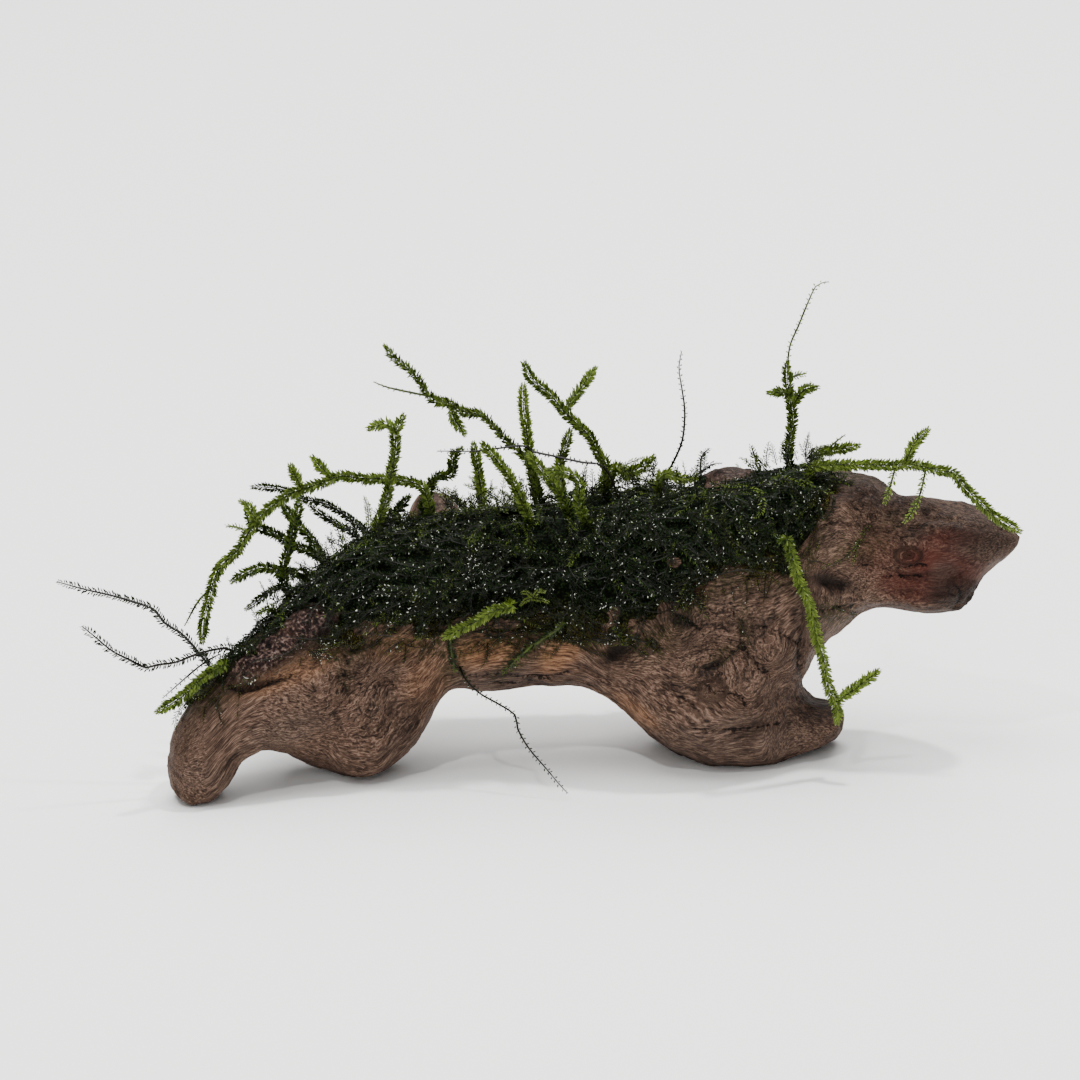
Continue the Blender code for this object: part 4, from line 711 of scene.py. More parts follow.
def triangles_of(bm):
    """The points and triangles of closed shapes, which face outwards; the bmesh is freed."""
    bmesh.ops.triangulate(bm, faces=bm.faces)
    bmesh.ops.recalc_face_normals(bm, faces=bm.faces)
    bm.verts.index_update()
    points = np.array([vert.co for vert in bm.verts])
    faces = np.array([[vert.index for vert in face.verts] for face in bm.faces])
    bm.free()
    return points, faces


def mesh_of(name, bm):
    """A mesh with what the bmesh holds, which is freed."""
    mesh = bpy.data.meshes.new(name)
    bm.to_mesh(mesh)
    bm.free()
    return mesh


def tree_of(names):
    """Tree of the faces of some nodes, to measure from."""
    bm = merged_nodes(names)
    tree = BVHTree.FromBMesh(bm)
    bm.free()
    return tree


def points_of(mesh):
    points = np.empty(len(mesh.vertices) * 3, np.float32)
    mesh.vertices.foreach_get("co", points)
    return points.reshape(-1, 3).astype(float)


def normals_of(mesh):
    normals = np.empty(len(mesh.vertices) * 3, np.float32)
    mesh.vertex_normals.foreach_get("vector", normals)
    return normals.reshape(-1, 3).astype(float)


def add_attribute(mesh, name, kind, key, values):
    """Store an array as an attribute of the vertices."""
    layer = mesh.attributes.new(name, kind, "POINT")
    layer.data.foreach_set(key, np.ascontiguousarray(values, np.float32).ravel())


def blobs(marks, across, rise):
    """Soft oval marks, the strongest at each place, from 0 to 1."""
    total = np.zeros_like(across, dtype=float)
    for mark_across, mark_rise, length, width, turn, strength in marks:
        cosine = math.cos(math.radians(turn))
        sine = math.sin(math.radians(turn))
        along = (across - mark_across) * cosine + (rise - mark_rise) * sine
        beside = (rise - mark_rise) * cosine - (across - mark_across) * sine
        reach = (along / length) ** 2 + (beside / width) ** 2
        total = np.maximum(total, strength * np.exp(-reach * reach))
    return total


def distance_to(points, across, rise):
    """Distance in the picture plane to a bent line, in millimetres."""
    best = np.full_like(across, np.inf)
    for (x_a, y_a), (x_b, y_b) in zip(points, points[1:]):
        run_x, run_y = x_b - x_a, y_b - y_a
        share = ((across - x_a) * run_x + (rise - y_a) * run_y) / (run_x ** 2 + run_y ** 2)
        share = np.clip(share, 0.0, 1.0)
        best = np.minimum(best, np.hypot(across - x_a - share * run_x, rise - y_a - share * run_y))
    return best


def grain_coordinates(points, normals):
    """Places on the wood in millimetres along the fibres and round the limb, bent round its knots."""
    across, rise, depth = as_seen(points)
    top, bottom, middle, thick = (
        np.interp(across, GRAIN_STATIONS[:, 0], GRAIN_STATIONS[:, column]) for column in (1, 2, 3, 4))
    height = (rise - (top + bottom) / 2) / ((top - bottom) / 2)
    inward = (middle - depth) / thick
    front = normals @ np.array(VIEW_DIRECTION) < 0.0
    for knots, side in ((FRONT_KNOTS, front), (BACK_KNOTS, ~front)):
        for knot_across, knot_rise, reach, strength in knots:
            away = ((across - knot_across) ** 2 + (rise - knot_rise) ** 2) / reach ** 2
            height = height + side * strength * np.exp(-away)
    height = height + SWIRL_HEIGHT * noise_over(points / (SWIRL_SIZE * MM))
    height = height + CURL_HEIGHT * noise_over(points / (CURL_SIZE * MM), 17.0)
    angle = np.arctan2(height, inward)
    shaggy = blobs(SHAGGY_PATCHES, across, rise) * front
    along = across + shaggy * (rise * 3.0 - across * 0.5)
    radius = np.sqrt(GRAIN_RADIUS * (top - bottom) / 2) * np.interp(across, (56.0, 70.0), (1.0, 0.65))
    grain = np.stack((along, radius * np.cos(angle), radius * np.sin(angle)), axis=1)
    toe = (smooth_step(across, 40.0, 46.0) * smooth_step(-rise, 23.0, 28.0))[:, None]
    grain = grain * (1.0 - toe) + np.stack((across, depth + 16.0, rise * 0.9 + 14.0), axis=1) * toe
    for eye_across, eye_rise, reach, squash, _ in EYES:
        away = np.hypot(across - eye_across, (rise - eye_rise) / squash)
        share = (smooth_step(-away, -reach, -0.7 * reach) * front)[:, None]
        rings = np.stack((np.full_like(away, eye_across), 1.5 * away, np.full_like(away, 40.0)), axis=1)
        grain = grain * (1.0 - share) + rings * share
    return grain


def near_mat_edge(across, rise):
    """How far above the mat's lower edge a place is seen, in millimetres."""
    return rise - np.interp(across, MAT_LOWER_EDGE[:, 0], MAT_LOWER_EDGE[:, 1])


def weather_wood(mesh):
    """Furrow the surface along the grain, open its cracks, and store what its material reads."""
    settings = bpy.context.scene.moss_wood
    points = points_of(mesh)
    normals = normals_of(mesh)
    across, rise, _ = as_seen(points)
    grain = grain_coordinates(points, normals)
    facing = smooth_step(-(normals @ np.array(VIEW_DIRECTION)), 0.0, 0.25)
    ridges = noise_over(grain / RIDGE_SIZE)
    strands = noise_over(grain / STRAND_SIZE, 31.0)
    furrows = noise_over(grain / FURROW_SIZE, 57.0)
    lumps = noise_over(points / (LUMP_SIZE * MM), 11.0)
    crumbs = noise_over(points / (CRUMB_SIZE * MM), 7.0)
    bark = blobs(BARK_PATCHES, across, rise) * facing
    shaggy = blobs(SHAGGY_PATCHES, across, rise) * facing
    lift = LUMP_HEIGHT * lumps + RIDGE_HEIGHT * ridges + STRAND_HEIGHT * strands * (1.0 + 1.2 * shaggy)
    lift += CRUMB_HEIGHT * crumbs
    lift -= FURROW_DEPTH * smooth_step(-furrows, 0.18, 0.42)
    lift += bark * (BARK_HEIGHT + 0.45 * crumbs) + shaggy * 0.25 * crumbs
    crumbled = blobs(CRUMBLED_PATCHES, across, rise) * facing
    crags = 1.0 - 2.0 * np.abs(noise_over(points / (CRAG_SIZE * MM), 23.0))
    crags += 0.5 - np.abs(noise_over(points / (CRUMB_SIZE * MM), 41.0))
    lift += (CRAG_HEIGHT + CRUMBLED_HEIGHT * crumbled) * crags
    window = blobs(MAT_WINDOWS, across, rise) * facing
    lift += WINDOW_HEIGHT * window * (0.8 + 0.5 * crumbs)
    rims = np.zeros_like(across)
    for eye_across, eye_rise, reach, squash, strength in EYES:
        away = np.hypot(across - eye_across, (rise - eye_rise) / squash) / reach
        ring = 0.35 * np.exp(-((away - 0.65) / 0.22) ** 2) - 0.45 * np.exp(-(away / 0.25) ** 2)
        lift += ring * strength * facing
        rims = np.maximum(rims, strength * np.exp(-((away - 1.0) / 0.16) ** 2))
        rims = np.maximum(rims, strength * np.exp(-(away / 0.25) ** 2))
    crack = np.full_like(across, CRACK_REACH)
    for width, depth, route in CRACKS:
        away = distance_to(route, across, rise) / width
        lift -= 0.6 * depth * np.exp(-(away / 1.2) ** 2) * facing
        crack = np.minimum(crack, away + (1.0 - facing) * CRACK_REACH)
    points += normals * (lift * settings.relief * MM)[:, None]
    points[:, 2] = np.maximum(points[:, 2], 0.0)
    mesh.vertices.foreach_set("co", points.astype(np.float32).ravel())
    patches = noise_over(points / (PATCH_SIZE * MM), 3.0)
    facing = smooth_step(-(normals @ np.array(VIEW_DIRECTION)), -0.45, -0.15)
    hidden = 1.0 - facing
    # Upward faces are darkened: partly silt, partly painted shade against the light from above
    silt_and_painted_shade = smooth_step(normals[:, 2], 0.35, 0.9)
    above = near_mat_edge(across, rise)
    edge_film = np.exp(-((above + 0.5) / 2.6) ** 2) * facing * 0.9
    red = blobs(RED_STAINS, across, rise) * facing + hidden * 0.4 * smooth_step(patches, 0.2, 0.5)
    orange = blobs(ORANGE_STAINS, across, rise) * facing + hidden * 0.6 * smooth_step(-patches, 0.1, 0.5)
    algae = np.maximum(blobs(ALGAE_STAINS, across, rise) * facing, edge_film)
    algae = np.maximum(algae, 0.5 * window * (1.0 - bark))
    algae += hidden * 0.7 * smooth_step(points[:, 2], 26.0 * MM, 44.0 * MM)
    # The dark channel: dark stains, furrows, openings and knot rims, and the painted shade on upward faces
    dark = blobs(DARK_STAINS, across, rise) * facing * 0.9
    dark = np.maximum(dark, smooth_step(-furrows, 0.2, 0.45) * 0.4)
    dark = np.maximum(dark, 0.4 * window * (1.0 - bark) * (0.7 + 0.6 * crumbs))
    dark = np.maximum(dark, 0.6 * rims * facing)
    dark = np.maximum(dark, silt_and_painted_shade * (0.5 + 0.2 * crumbs))
    stain_and_painted_shade = np.clip(np.stack((red, orange, algae, dark), axis=1), 0.0, 1.0)
    grey = blobs(GREY_STAINS, across, rise) * facing + hidden * smooth_step(patches, -0.1, 0.3) * 0.35
    hidden_crumbs = noise_over(points / (HIDDEN_CRUMBLED_SIZE * MM), 5.0)
    crumbled += hidden * smooth_step(hidden_crumbs, 0.1, 0.4) * 0.8
    marks = np.clip(np.stack((grey, bark, crumbled, np.ones_like(grey)), axis=1), 0.0, 1.0)
    add_attribute(mesh, "crack", "FLOAT", "value", crack)
    add_attribute(mesh, "grain", "FLOAT_VECTOR", "vector", grain)
    add_attribute(mesh, "stain_and_painted_shade", "FLOAT_COLOR", "color", stain_and_painted_shade)
    add_attribute(mesh, "marks", "FLOAT_COLOR", "color", marks)


def make_driftwood():
    """The whole wood in one skin over its limbs, smoothed, then furrowed."""
    settings = bpy.context.scene.moss_wood
    bm = merged_nodes(WOOD_NODES)
    for vert in bm.verts:
        vert.co += vert.normal * (WOOD_SWELL * MM)
    wood = new_object("driftwood", mesh_of("driftwood", bm))
    add_modifier(wood, "REMESH", mode="VOXEL", voxel_size=settings.skin_step)
    add_modifier(wood, "SMOOTH", factor=0.5, iterations=WOOD_SMOOTHING)
    apply_modifiers(wood)
    weather_wood(wood.data)
    wood.data.shade_smooth()
    wood.data.materials.append(wet_driftwood())
    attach(wood, "root")
    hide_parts(*WOOD_NODES)
    return wood


def smooth_route(points):
    """Points every SAMPLE_STEP along a smooth curve through the given points."""
    padded = [points[0] * 2 - points[1]] + points + [points[-1] * 2 - points[-2]]
    route = []
    for before, start, end, after in zip(padded, padded[1:], padded[2:], padded[3:]):
        count = max(1, round((end - start).length / SAMPLE_STEP))
        for step in range(count):
            t = step / count
            route.append(0.5 * (2 * start + (end - before) * t
                                + (2 * before - 5 * start + 4 * end - after) * t * t
                                + (3 * start - before - 3 * end + after) * t ** 3))
    route.append(points[-1].copy())
    return route


def at_depths(points, first, last):
    """World places of (across, rise) points whose depth runs evenly from first to last."""
    lengths = [0.0]
    for start, end in zip(points, points[1:]):
        lengths.append(lengths[-1] + math.dist(start, end))
    return [seen_at(across, rise, first + (last - first) * length / lengths[-1])
            for (across, rise), length in zip(points, lengths)]


def clearance(point, ground):
    """Distance to the wood and the mat, negative inside them, with the nearest place and its normal."""
    spot, normal, _, distance = ground.find_nearest(point)
    if (point - spot).dot(normal) < 0.0:
        distance = -distance
    return distance, spot, normal


def rooted(route, radius, ground):
    """The route from where it leaves the mat, kept clear of what lies under it."""
    start = 0
    for index in range(int(len(route) * 0.6)):
        if clearance(route[index], ground)[0] < ROOT_RADIUS + GAP:
            start = index + 1
    route = route[start:]
    distance, spot, normal = clearance(route[0], ground)
    if distance > 4 * SAMPLE_STEP:
        foot = spot + normal * (ROOT_RADIUS + GAP)
        route = smooth_route([foot, route[0]])[:-1] + route
    lifted = []
    length = 0.0
    for index, point in enumerate(route):
        if index:
            length += (point - route[index - 1]).length
        share = min(1.0, length / SWELL_LENGTH)
        room = ROOT_RADIUS + (radius - ROOT_RADIUS) * share + GAP
        distance, spot, normal = clearance(point, ground)
        lifted.append(spot + normal * room if distance < room else point)
    return lifted


def sunk_root(route, ground):
    """The route with first points down in the mat, so that the stem doesn't start in the air."""
    _, spot, normal = clearance(route[0], ground)
    return [spot - normal * (depth * MM) for depth in (ROOT_DEPTH, ROOT_DEPTH / 2, 0.0)] + route


def nearest_depth(route, point):
    """Depth of a route, in millimetres, where it is seen nearest to (across, rise)."""
    across, rise, depth = as_seen(np.array(route))
    return depth[np.argmin(np.hypot(across - point[0], rise - point[1]))]


def front_route(points, lift, tree):
    """A route that follows the front of the wood and the mat, lifted off them."""
    route = []
    for point in smooth_route([seen_at(across, rise, 0.0) for across, rise in points]):
        spot, normal, _, _ = tree.ray_cast(EYE, (point - EYE).normalized())
        route.append(spot + normal * lift)
    return route


def leaf_template(sides):
    """One moss leaf along +X, unit long and unit wide: oval and pointed, cupped, its tip bent back."""
    bm = bmesh.new()
    bmesh.ops.create_uvsphere(bm, u_segments=sides, v_segments=2, radius=1.0)
    for vert in bm.verts:
        x, y, z = vert.co
        along = (x + 1.0) / 2.0
        rim = math.hypot(x, y)
        width = 0.58 if x < 0.0 else 0.4
        lift = 0.09 * abs(y) - 0.16 * along ** 2
        if rim < 0.1:
            vert.co = (0.42, 0.0, lift - 0.07 + 0.022 * z)
        else:
            vert.co = (along, y * width, lift)
    return triangles_of(bm)


def at_places(places, run, values):
    """The values along a route, each a row, at some places on it."""
    return np.stack([np.interp(places, run, values[:, axis]) for axis in range(3)], axis=1)


class Growth:
    """Leaves and stems gathered for one piece of moss."""

    def __init__(self, has_windows=False):
        self.leaves = {FINE: [], COARSE: []}
        self.stems = []
        self.has_windows = has_windows

    def add_shoot(self, route, facing, kind, tint, age, rng, flat=0.75, shaded=0.0):
        """Grow leaves along a route, two rows to its sides and fewer above and below it.

        The leaves are dark at the root and lighten over the shaded length, in millimetres.
        """
        spacing, length, width, stem, rows, sides = LEAF_KINDS[kind]
        route = np.asarray(route, float)
        steps = np.linalg.norm(np.diff(route, axis=0), axis=1)
        run = np.concatenate(([0.0], np.cumsum(steps)))
        total = run[-1]
        self.stems.append((route, run, stem * MM / 2.0))
        facing = np.broadcast_to(np.asarray(facing, float), route.shape)
        for turn, offset, stride, level in rows:
            size = 1.0 if level else flat
            gaps = spacing * stride * MM
            places = np.arange(offset * spacing * MM, total, gaps)
            count = len(places)
            if not count:
                continue
            places = places + rng.normal(0.0, 0.12 * gaps, count)
            places = np.clip(places, 0.0, total)
            base = at_places(places, run, route)
            ahead = np.clip(places + 0.4 * MM, 0.0, total)
            behind = np.clip(places - 0.4 * MM, 0.0, total)
            tangent = unit(at_places(ahead, run, route) - at_places(behind, run, route))
            face = at_places(places, run, facing)
            face = unit(face - tangent * np.sum(face * tangent, axis=1, keepdims=True))
            side = np.cross(tangent, face)
            spin = math.radians(turn) + rng.normal(0.0, 0.22, count)
            out = np.cos(spin)[:, None] * side + np.sin(spin)[:, None] * face
            near_tip = np.clip((total - places) / (SMALL_AT_TIP * MM), 0.0, 1.0)
            near_root = np.clip(places / (SMALL_AT_ROOT * MM), 0.0, 1.0)
            spread = np.radians(TIP_ANGLE + (LEAF_ANGLE - TIP_ANGLE) * near_tip)
            spread = spread + rng.normal(0.0, 0.16, count)
            axis = np.cos(spread)[:, None] * tangent + np.sin(spread)[:, None] * out
            axis = unit(axis + rng.normal(0.0, 0.1, (count, 3)))
            blade = np.cross(axis, np.cross(face, axis)) if level else np.cross(axis, side)
            blade = unit(blade + rng.normal(0.0, 0.3, (count, 3)))
            across_leaf = unit(np.cross(blade, axis))
            blade = np.cross(axis, across_leaf)
            scale = size * (0.5 + 0.5 * near_tip) * (0.6 + 0.4 * near_root) * rng.uniform(0.78, 1.12, count)
            base = base + out * (stem * MM / 2.5)
            out_of_shade = np.clip(places / (max(shaded, 0.01) * MM), 0.0, 1.0)
            shade = tint * rng.uniform(0.5, 1.35, count) * (0.25 + 0.75 * out_of_shade)
            shade = np.clip(shade + 0.15 * (1.0 - near_tip), 0.0, 1.0)
            olds = np.clip(age + rng.normal(0.0, 0.1, count), 0.0, 1.0)
            self.leaves[sides].append((
                base, axis, across_leaf, blade, scale * length * MM, scale * width * MM, shade, olds))

    def stem_mesh(self):
        """All stems as tubes that narrow to their tips."""
        curve = bpy.data.curves.new("stems", "CURVE")
        curve.dimensions = "3D"
        curve.bevel_depth = 1.0
        curve.bevel_resolution = 0
        curve.use_fill_caps = True
        for route, run, radius in self.stems:
            count = max(3, int(run[-1] / (1.3 * MM)) + 1)
            places = np.linspace(0.0, run[-1], count)
            spline = curve.splines.new("POLY")
            spline.points.add(count - 1)
            for index, place in enumerate(places):
                spline.points[index].co = (*at_places([place], run, route)[0], 1.0)
                left = (run[-1] - place) / run[-1]
                spline.points[index].radius = radius * (0.45 + 0.55 * min(1.0, left * 2.5))
        strand = new_object("stems", curve)
        graph = bpy.context.evaluated_depsgraph_get()
        mesh = bpy.data.meshes.new_from_object(strand.evaluated_get(graph))
        bpy.data.objects.remove(strand)
        bm = bmesh.new()
        bm.from_mesh(mesh)
        bmesh.ops.remove_doubles(bm, verts=bm.verts, dist=MERGE_DISTANCE)
        bpy.data.meshes.remove(mesh)
        return triangles_of(bm)

    def piece(self, name, slot, leaf_material, stem_material):
        """Join the leaves and the stems in one object."""
        points = []
        faces = []
        values = {key: [] for key in STEM_VALUES}
        total = 0
        rng = np.random.default_rng(WINDOW_AND_PAINTED_GLINT_SEED)
        for sides, leaves in self.leaves.items():
            if not leaves:
                continue
            shape, shape_faces = leaf_template(sides)
            columns = [np.concatenate(column) for column in zip(*leaves)]
            across_seen, rise_seen, depth_seen = as_seen(columns[0])
            columns += [across_seen, rise_seen]
            if self.has_windows:
                kept = blobs(MAT_WINDOWS, across_seen, rise_seen) < WINDOW_SHARE
                kept |= depth_seen > WINDOW_DEPTH
                kept |= rng.random(len(kept)) < WINDOW_REST
                columns = [column[kept] for column in columns]
            base, axis, across, blade, length, width, tint, age, across_seen, rise_seen = columns
            placed = base[:, None, :]
            for side, (way, size) in enumerate(((axis, length), (across, width), (blade, length))):
                placed = placed + shape[None, :, side, None] * (way * size[:, None])[:, None, :]
            points.append(placed.reshape(-1, 3))
            starts = np.arange(len(base)) * len(shape) + total
            faces.append((shape_faces[None] + starts[:, None, None]).reshape(-1, 3))
            total += len(base) * len(shape)
            # Painted glint: the tip point of a share of the leaves, more in the listed spots, is marked to be
            # painted near white
            painted_glint = np.zeros((len(base), len(shape)))
            chance = PAINTED_GLINT_SHARE + blobs(PAINTED_GLINT_SPOTS, across_seen, rise_seen)
            painted_glint[rng.random(len(base)) < chance, np.argmax(shape[:, 0])] = 1.0
            values["tint"].append(np.repeat(tint, len(shape)))
            values["age"].append(np.repeat(age, len(shape)))
            values["painted_glint"].append(painted_glint.ravel())
        leaf_face_count = sum(len(part) for part in faces)
        stem_points, stem_faces = self.stem_mesh()
        points = np.concatenate((*points, stem_points))
        faces = np.concatenate((*faces, stem_faces + total))
        points[:, 2] = np.maximum(points[:, 2], LOWEST_MOSS)
        mesh = bpy.data.meshes.new(name)
        mesh.vertices.add(len(points))
        mesh.loops.add(faces.size)
        mesh.polygons.add(len(faces))
        mesh.vertices.foreach_set("co", points.astype(np.float32).ravel())
        mesh.loops.foreach_set("vertex_index", faces.astype(np.int32).ravel())
        mesh.polygons.foreach_set("loop_start", np.arange(0, faces.size, 3, dtype=np.int32))
        mesh.materials.append(leaf_material)
        mesh.materials.append(stem_material)
        is_stem = np.arange(len(faces), dtype=np.int32) >= leaf_face_count
        mesh.polygons.foreach_set("material_index", is_stem.astype(np.int32))
        mesh.update(calc_edges=True)
        for key, stem_value in STEM_VALUES.items():
            joined = np.concatenate((*values[key], np.full(len(stem_points), stem_value)))
            add_attribute(mesh, key, "FLOAT", "value", joined)
        mesh.shade_flat()
        moss = new_object(name, mesh)
        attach(moss, "root")
        return moss


def shoot_facing(rng):
    """The way a free shoot's flat side looks: mostly to the front, turned at random."""
    return np.array(-VIEW_DIRECTION) + rng.normal(0.0, 0.35, 3)


def make_shoots():
    """Every shoot that stands, arches or hangs free, with its side shoots."""
    rng = np.random.default_rng(SHOOT_SEED)
    ground = tree_of(WOOD_NODES + [MAT_NODE])
    leaves = moss_leaves()
    green_stems = moss_stems("Green moss stems", linear("#46541f"))
    dark_stems = moss_stems("Dark moss stems", linear("#15140a"))
    for name, (kind, tint, root_depth, tip_depth, points, sides) in SHOOTS.items():
        growth = Growth()
        path = smooth_route(at_depths(points, root_depth, tip_depth))
        route = rooted(path, SHOOT_RADIUS[kind], ground)
        growth.add_shoot(sunk_root(route, ground), shoot_facing(rng), kind, tint, 0.05, rng,
                         shaded=SHADED_LENGTHS.get(name, SHADED_LENGTH))
        for side_kind, added, side_points in sides:
            depth = nearest_depth(route, side_points[0])
            side_route = smooth_route(at_depths(side_points, depth, depth + added))
            growth.add_shoot(side_route, shoot_facing(rng), side_kind, min(1.0, tint + 0.12), 0.0, rng)
        stems = dark_stems if tint < 0.3 else green_stems
        moss = growth.piece(name, "moss_shoots", leaves, stems)
        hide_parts(name)
    for name, (kind, tint, points) in LYING_STRANDS.items():
        growth = Growth()
        route = front_route(points, SHOOT_RADIUS[kind] + 2.0 * GAP, ground)
        growth.add_shoot(sunk_root(route, ground), shoot_facing(rng), kind, tint, 0.05, rng)
        moss = growth.piece(name, "moss_shoots", leaves, green_stems)
        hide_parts(name)


def outer_samples(count, rng):
    """Random places on the outside of the mat, spread evenly over its area, with their normals."""
    wood = tree_of(WOOD_NODES)
    bm = merged_nodes([MAT_NODE])
    outer = []
    for face in bm.faces:
        centre = face.calc_center_median()
        _, wood_normal, _, distance = wood.find_nearest(centre)
        if distance > 2.5 * GAP and face.normal.dot(wood_normal) > -0.2:
            outer.append((face.calc_area(), [vert.co.copy() for vert in face.verts], face.normal.copy()))
    bm.free()
    areas = np.array([area for area, _, _ in outer])
    picks = rng.choice(len(outer), size=count, p=areas / areas.sum())
    places = []
    for pick in picks:
        a, b, c = outer[pick][1]
        u, v = sorted(rng.random(2))
        places.append((a * u + b * (v - u) + c * (1.0 - v), outer[pick][2]))
    return places


def heading_at(angle):
    """The way that a strand starts, at an angle in the picture plane."""
    return Vector((math.cos(angle), 0.0, 0.0)) + VIEW_UP * math.sin(angle)


def bowed(start, way, bow, length, bend, count):
    """A route that starts one way and bends over, its length in millimetres."""
    return [start + way * (share * length * MM) + bow * (share * share * length * bend * MM)
            for share in np.linspace(0.0, 1.0, count)]


def walk(start, heading, length, lift, end_lift, tree, wood, rng):
    """A route in the skin of the mat, or over the wood, that wavers and lifts off towards its tip."""
    point = start.copy()
    route = []
    normals = []
    count = max(4, int(length / WALK_STEP))
    bend = rng.normal(0.0, WALK_BEND)
    spot, normal, _, _ = tree.find_nearest(point)
    for index in range(count):
        share = index / (count - 1)
        height = lift * min(1.0, 0.1 + share * 4.0) + end_lift * share ** 2
        room = wood.find_nearest(spot)[3] / MM
        height -= min(MAT_SINK, 0.7 * room)
        route.append(spot + normal * (height * MM))
        normals.append(normal.copy())
        heading = (heading - normal * heading.dot(normal)).normalized()
        turn = Matrix.Rotation(bend + rng.normal(0.0, WALK_WAVER), 3, normal)
        heading = turn @ heading
        point = spot + normal * (0.5 * MM) + heading * (WALK_STEP * MM)
        spot, normal, _, _ = tree.find_nearest(point)
    return route, normals


def in_window(across, rise, depth):
    """Whether a place on the front of the mat is in one of its openings."""
    return depth < WINDOW_DEPTH and float(blobs(MAT_WINDOWS, across, rise)) > WINDOW_SHARE


def mat_tint(across, rise, depth, normal, rng):
    """Shade and age of one strand of the mat: lighter on top, olive and old along the lower edge."""
    up = max(0.0, normal.z)
    tint = abs(rng.normal(0.0, 0.1)) + 0.2 * up ** 3
    if rng.random() < 0.07:
        tint += rng.uniform(0.1, 0.3)
    above = float(near_mat_edge(across, rise))
    age = 0.0
    if above < 6.0 and depth < 8.0:
        age = rng.uniform(0.4, 1.0) * min(1.0, (6.0 - above) / 4.0)
        tint = min(tint, 0.3) + 0.15
    return min(1.0, tint), age


def add_fringe(part_at, ground, wood):
    """Short old strands along the mat's lower edge on the front, which creep down over the wood."""
    rng = np.random.default_rng(FRINGE_SEED)
    for _ in range(bpy.context.scene.moss_growth.fringe):
        across = rng.uniform(MAT_LOWER_EDGE[0, 0], MAT_LOWER_EDGE[-2, 0])
        rise = float(np.interp(across, MAT_LOWER_EDGE[:, 0], MAT_LOWER_EDGE[:, 1])) + rng.uniform(-0.6, 2.6)
        target = seen_at(across, rise, 0.0)
        spot, _, _, _ = ground.ray_cast(EYE, (target - EYE).normalized())
        if spot is None:
            continue
        angle = math.radians(rng.normal(265.0, 38.0))
        length = rng.uniform(*FRINGE_LENGTHS)
        route, normals = walk(spot, heading_at(angle), length, rng.uniform(0.2, 0.7), 0.2, ground, wood, rng)
        part_at(across).add_shoot(route, np.array(normals), "wisp", rng.uniform(0.2, 0.5),
                                  rng.uniform(0.7, 1.0), rng, flat=0.7)


def add_crown(part_at):
    """The tangle of young shoots that stands up from the top of the mat."""
    rng = np.random.default_rng(CROWN_SEED)
    for start, normal in outer_samples(bpy.context.scene.moss_growth.crown_shoots * 3, rng):
        across, rise, depth = spot_seen(start)
        if normal.z < 0.6 or depth < CROWN_DEPTH or not CROWN_REACH[0] < across < CROWN_REACH[1]:
            continue
        lean = Vector((rng.normal(-0.2, 0.9), rng.normal(0.0, 0.3), 1.0)).normalized()
        bow = Vector((rng.normal(-0.1, 0.8), rng.normal(0.0, 0.3), rng.normal(-0.3, 0.3)))
        length = rng.uniform(*(CROWN_LENGTHS if across < RIDGE_FROM else RIDGE_LENGTHS))
        route = bowed(start, lean, bow, length, 0.5, 16)
        part_at(across).add_shoot(route, shoot_facing(rng), "young", rng.uniform(0.5, 1.0),
                                  rng.uniform(0.0, 0.4), rng, shaded=2.0)


def add_tufts(part_at):
    """Short standing tips on top of the mat, lighter towards the back."""
    rng = np.random.default_rng(TUFT_SEED)
    for start, normal in outer_samples(bpy.context.scene.moss_growth.tufts * 4, rng):
        if normal.z < 0.35 or rng.random() > normal.z:
            continue
        across, _, depth = spot_seen(start)
        way = (normal + Vector(rng.normal(0.0, 0.45, 3)) + Vector((0.0, 0.0, 0.5))).normalized()
        bow = Vector(rng.normal(0.0, 0.35, 3))
        route = bowed(start, way, bow, rng.uniform(*TUFT_LENGTHS), 0.4, 12)
        tint = 0.22 + rng.normal(0.0, 0.12) + 0.25 * (depth > CROWN_DEPTH)
        part_at(across).add_shoot(route, shoot_facing(rng), "mat", float(np.clip(tint, 0.0, 0.9)), 0.1, rng)


def make_mat():
    """The moss mat: matted thatch on the wood, covered by creeping leafy strands and standing tips."""
    settings = bpy.context.scene.moss_growth
    rng = np.random.default_rng(MAT_SEED)
    ground = tree_of(WOOD_NODES + [MAT_NODE])
    wood = tree_of(WOOD_NODES)
    leaves = bpy.data.materials["Wet moss leaves"]
    stems = bpy.data.materials["Dark moss stems"]
    growths = {name: Growth(has_windows=True) for name in MAT_PARTS}

    def part_at(across):
        for name, (first, last) in MAT_PARTS.items():
            if first <= across < last:
                return growths[name]
        raise ValueError(f"no part of the mat at {across}")

    for start, normal in outer_samples(settings.strands, rng):
        across, rise, depth = spot_seen(start)
        if in_window(across, rise, depth) and rng.random() < 0.7:
            continue
        angle = math.radians(float(np.interp(across, LIE_ACROSS, LIE_ANGLES)) + rng.normal(0.0, 48.0))
        heading = heading_at(angle)
        if depth > 6.0:
            heading = Vector((math.cos(angle) * 0.8, 0.5, math.sin(angle)))
        length = rng.uniform(0.6, 1.4) * settings.strand_length / MM
        lift = rng.uniform(0.1, 1.2)
        end_lift = max(0.0, rng.normal(0.3, 0.6))
        route, normals = walk(start, heading, length, lift, end_lift, ground, wood, rng)
        tint, age = mat_tint(across, rise, depth, normal, rng)
        roll = rng.normal(0.0, 0.45, 3)
        facing = np.array(normals) + roll
        part_at(across).add_shoot(route, facing, "mat", tint, age, rng, flat=0.6)
    add_fringe(part_at, ground, wood)
    add_crown(part_at)
    add_tufts(part_at)
    for name, growth in growths.items():
        moss = growth.piece(name, "moss_mat", leaves, stems)
        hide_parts(MAT_NODE)


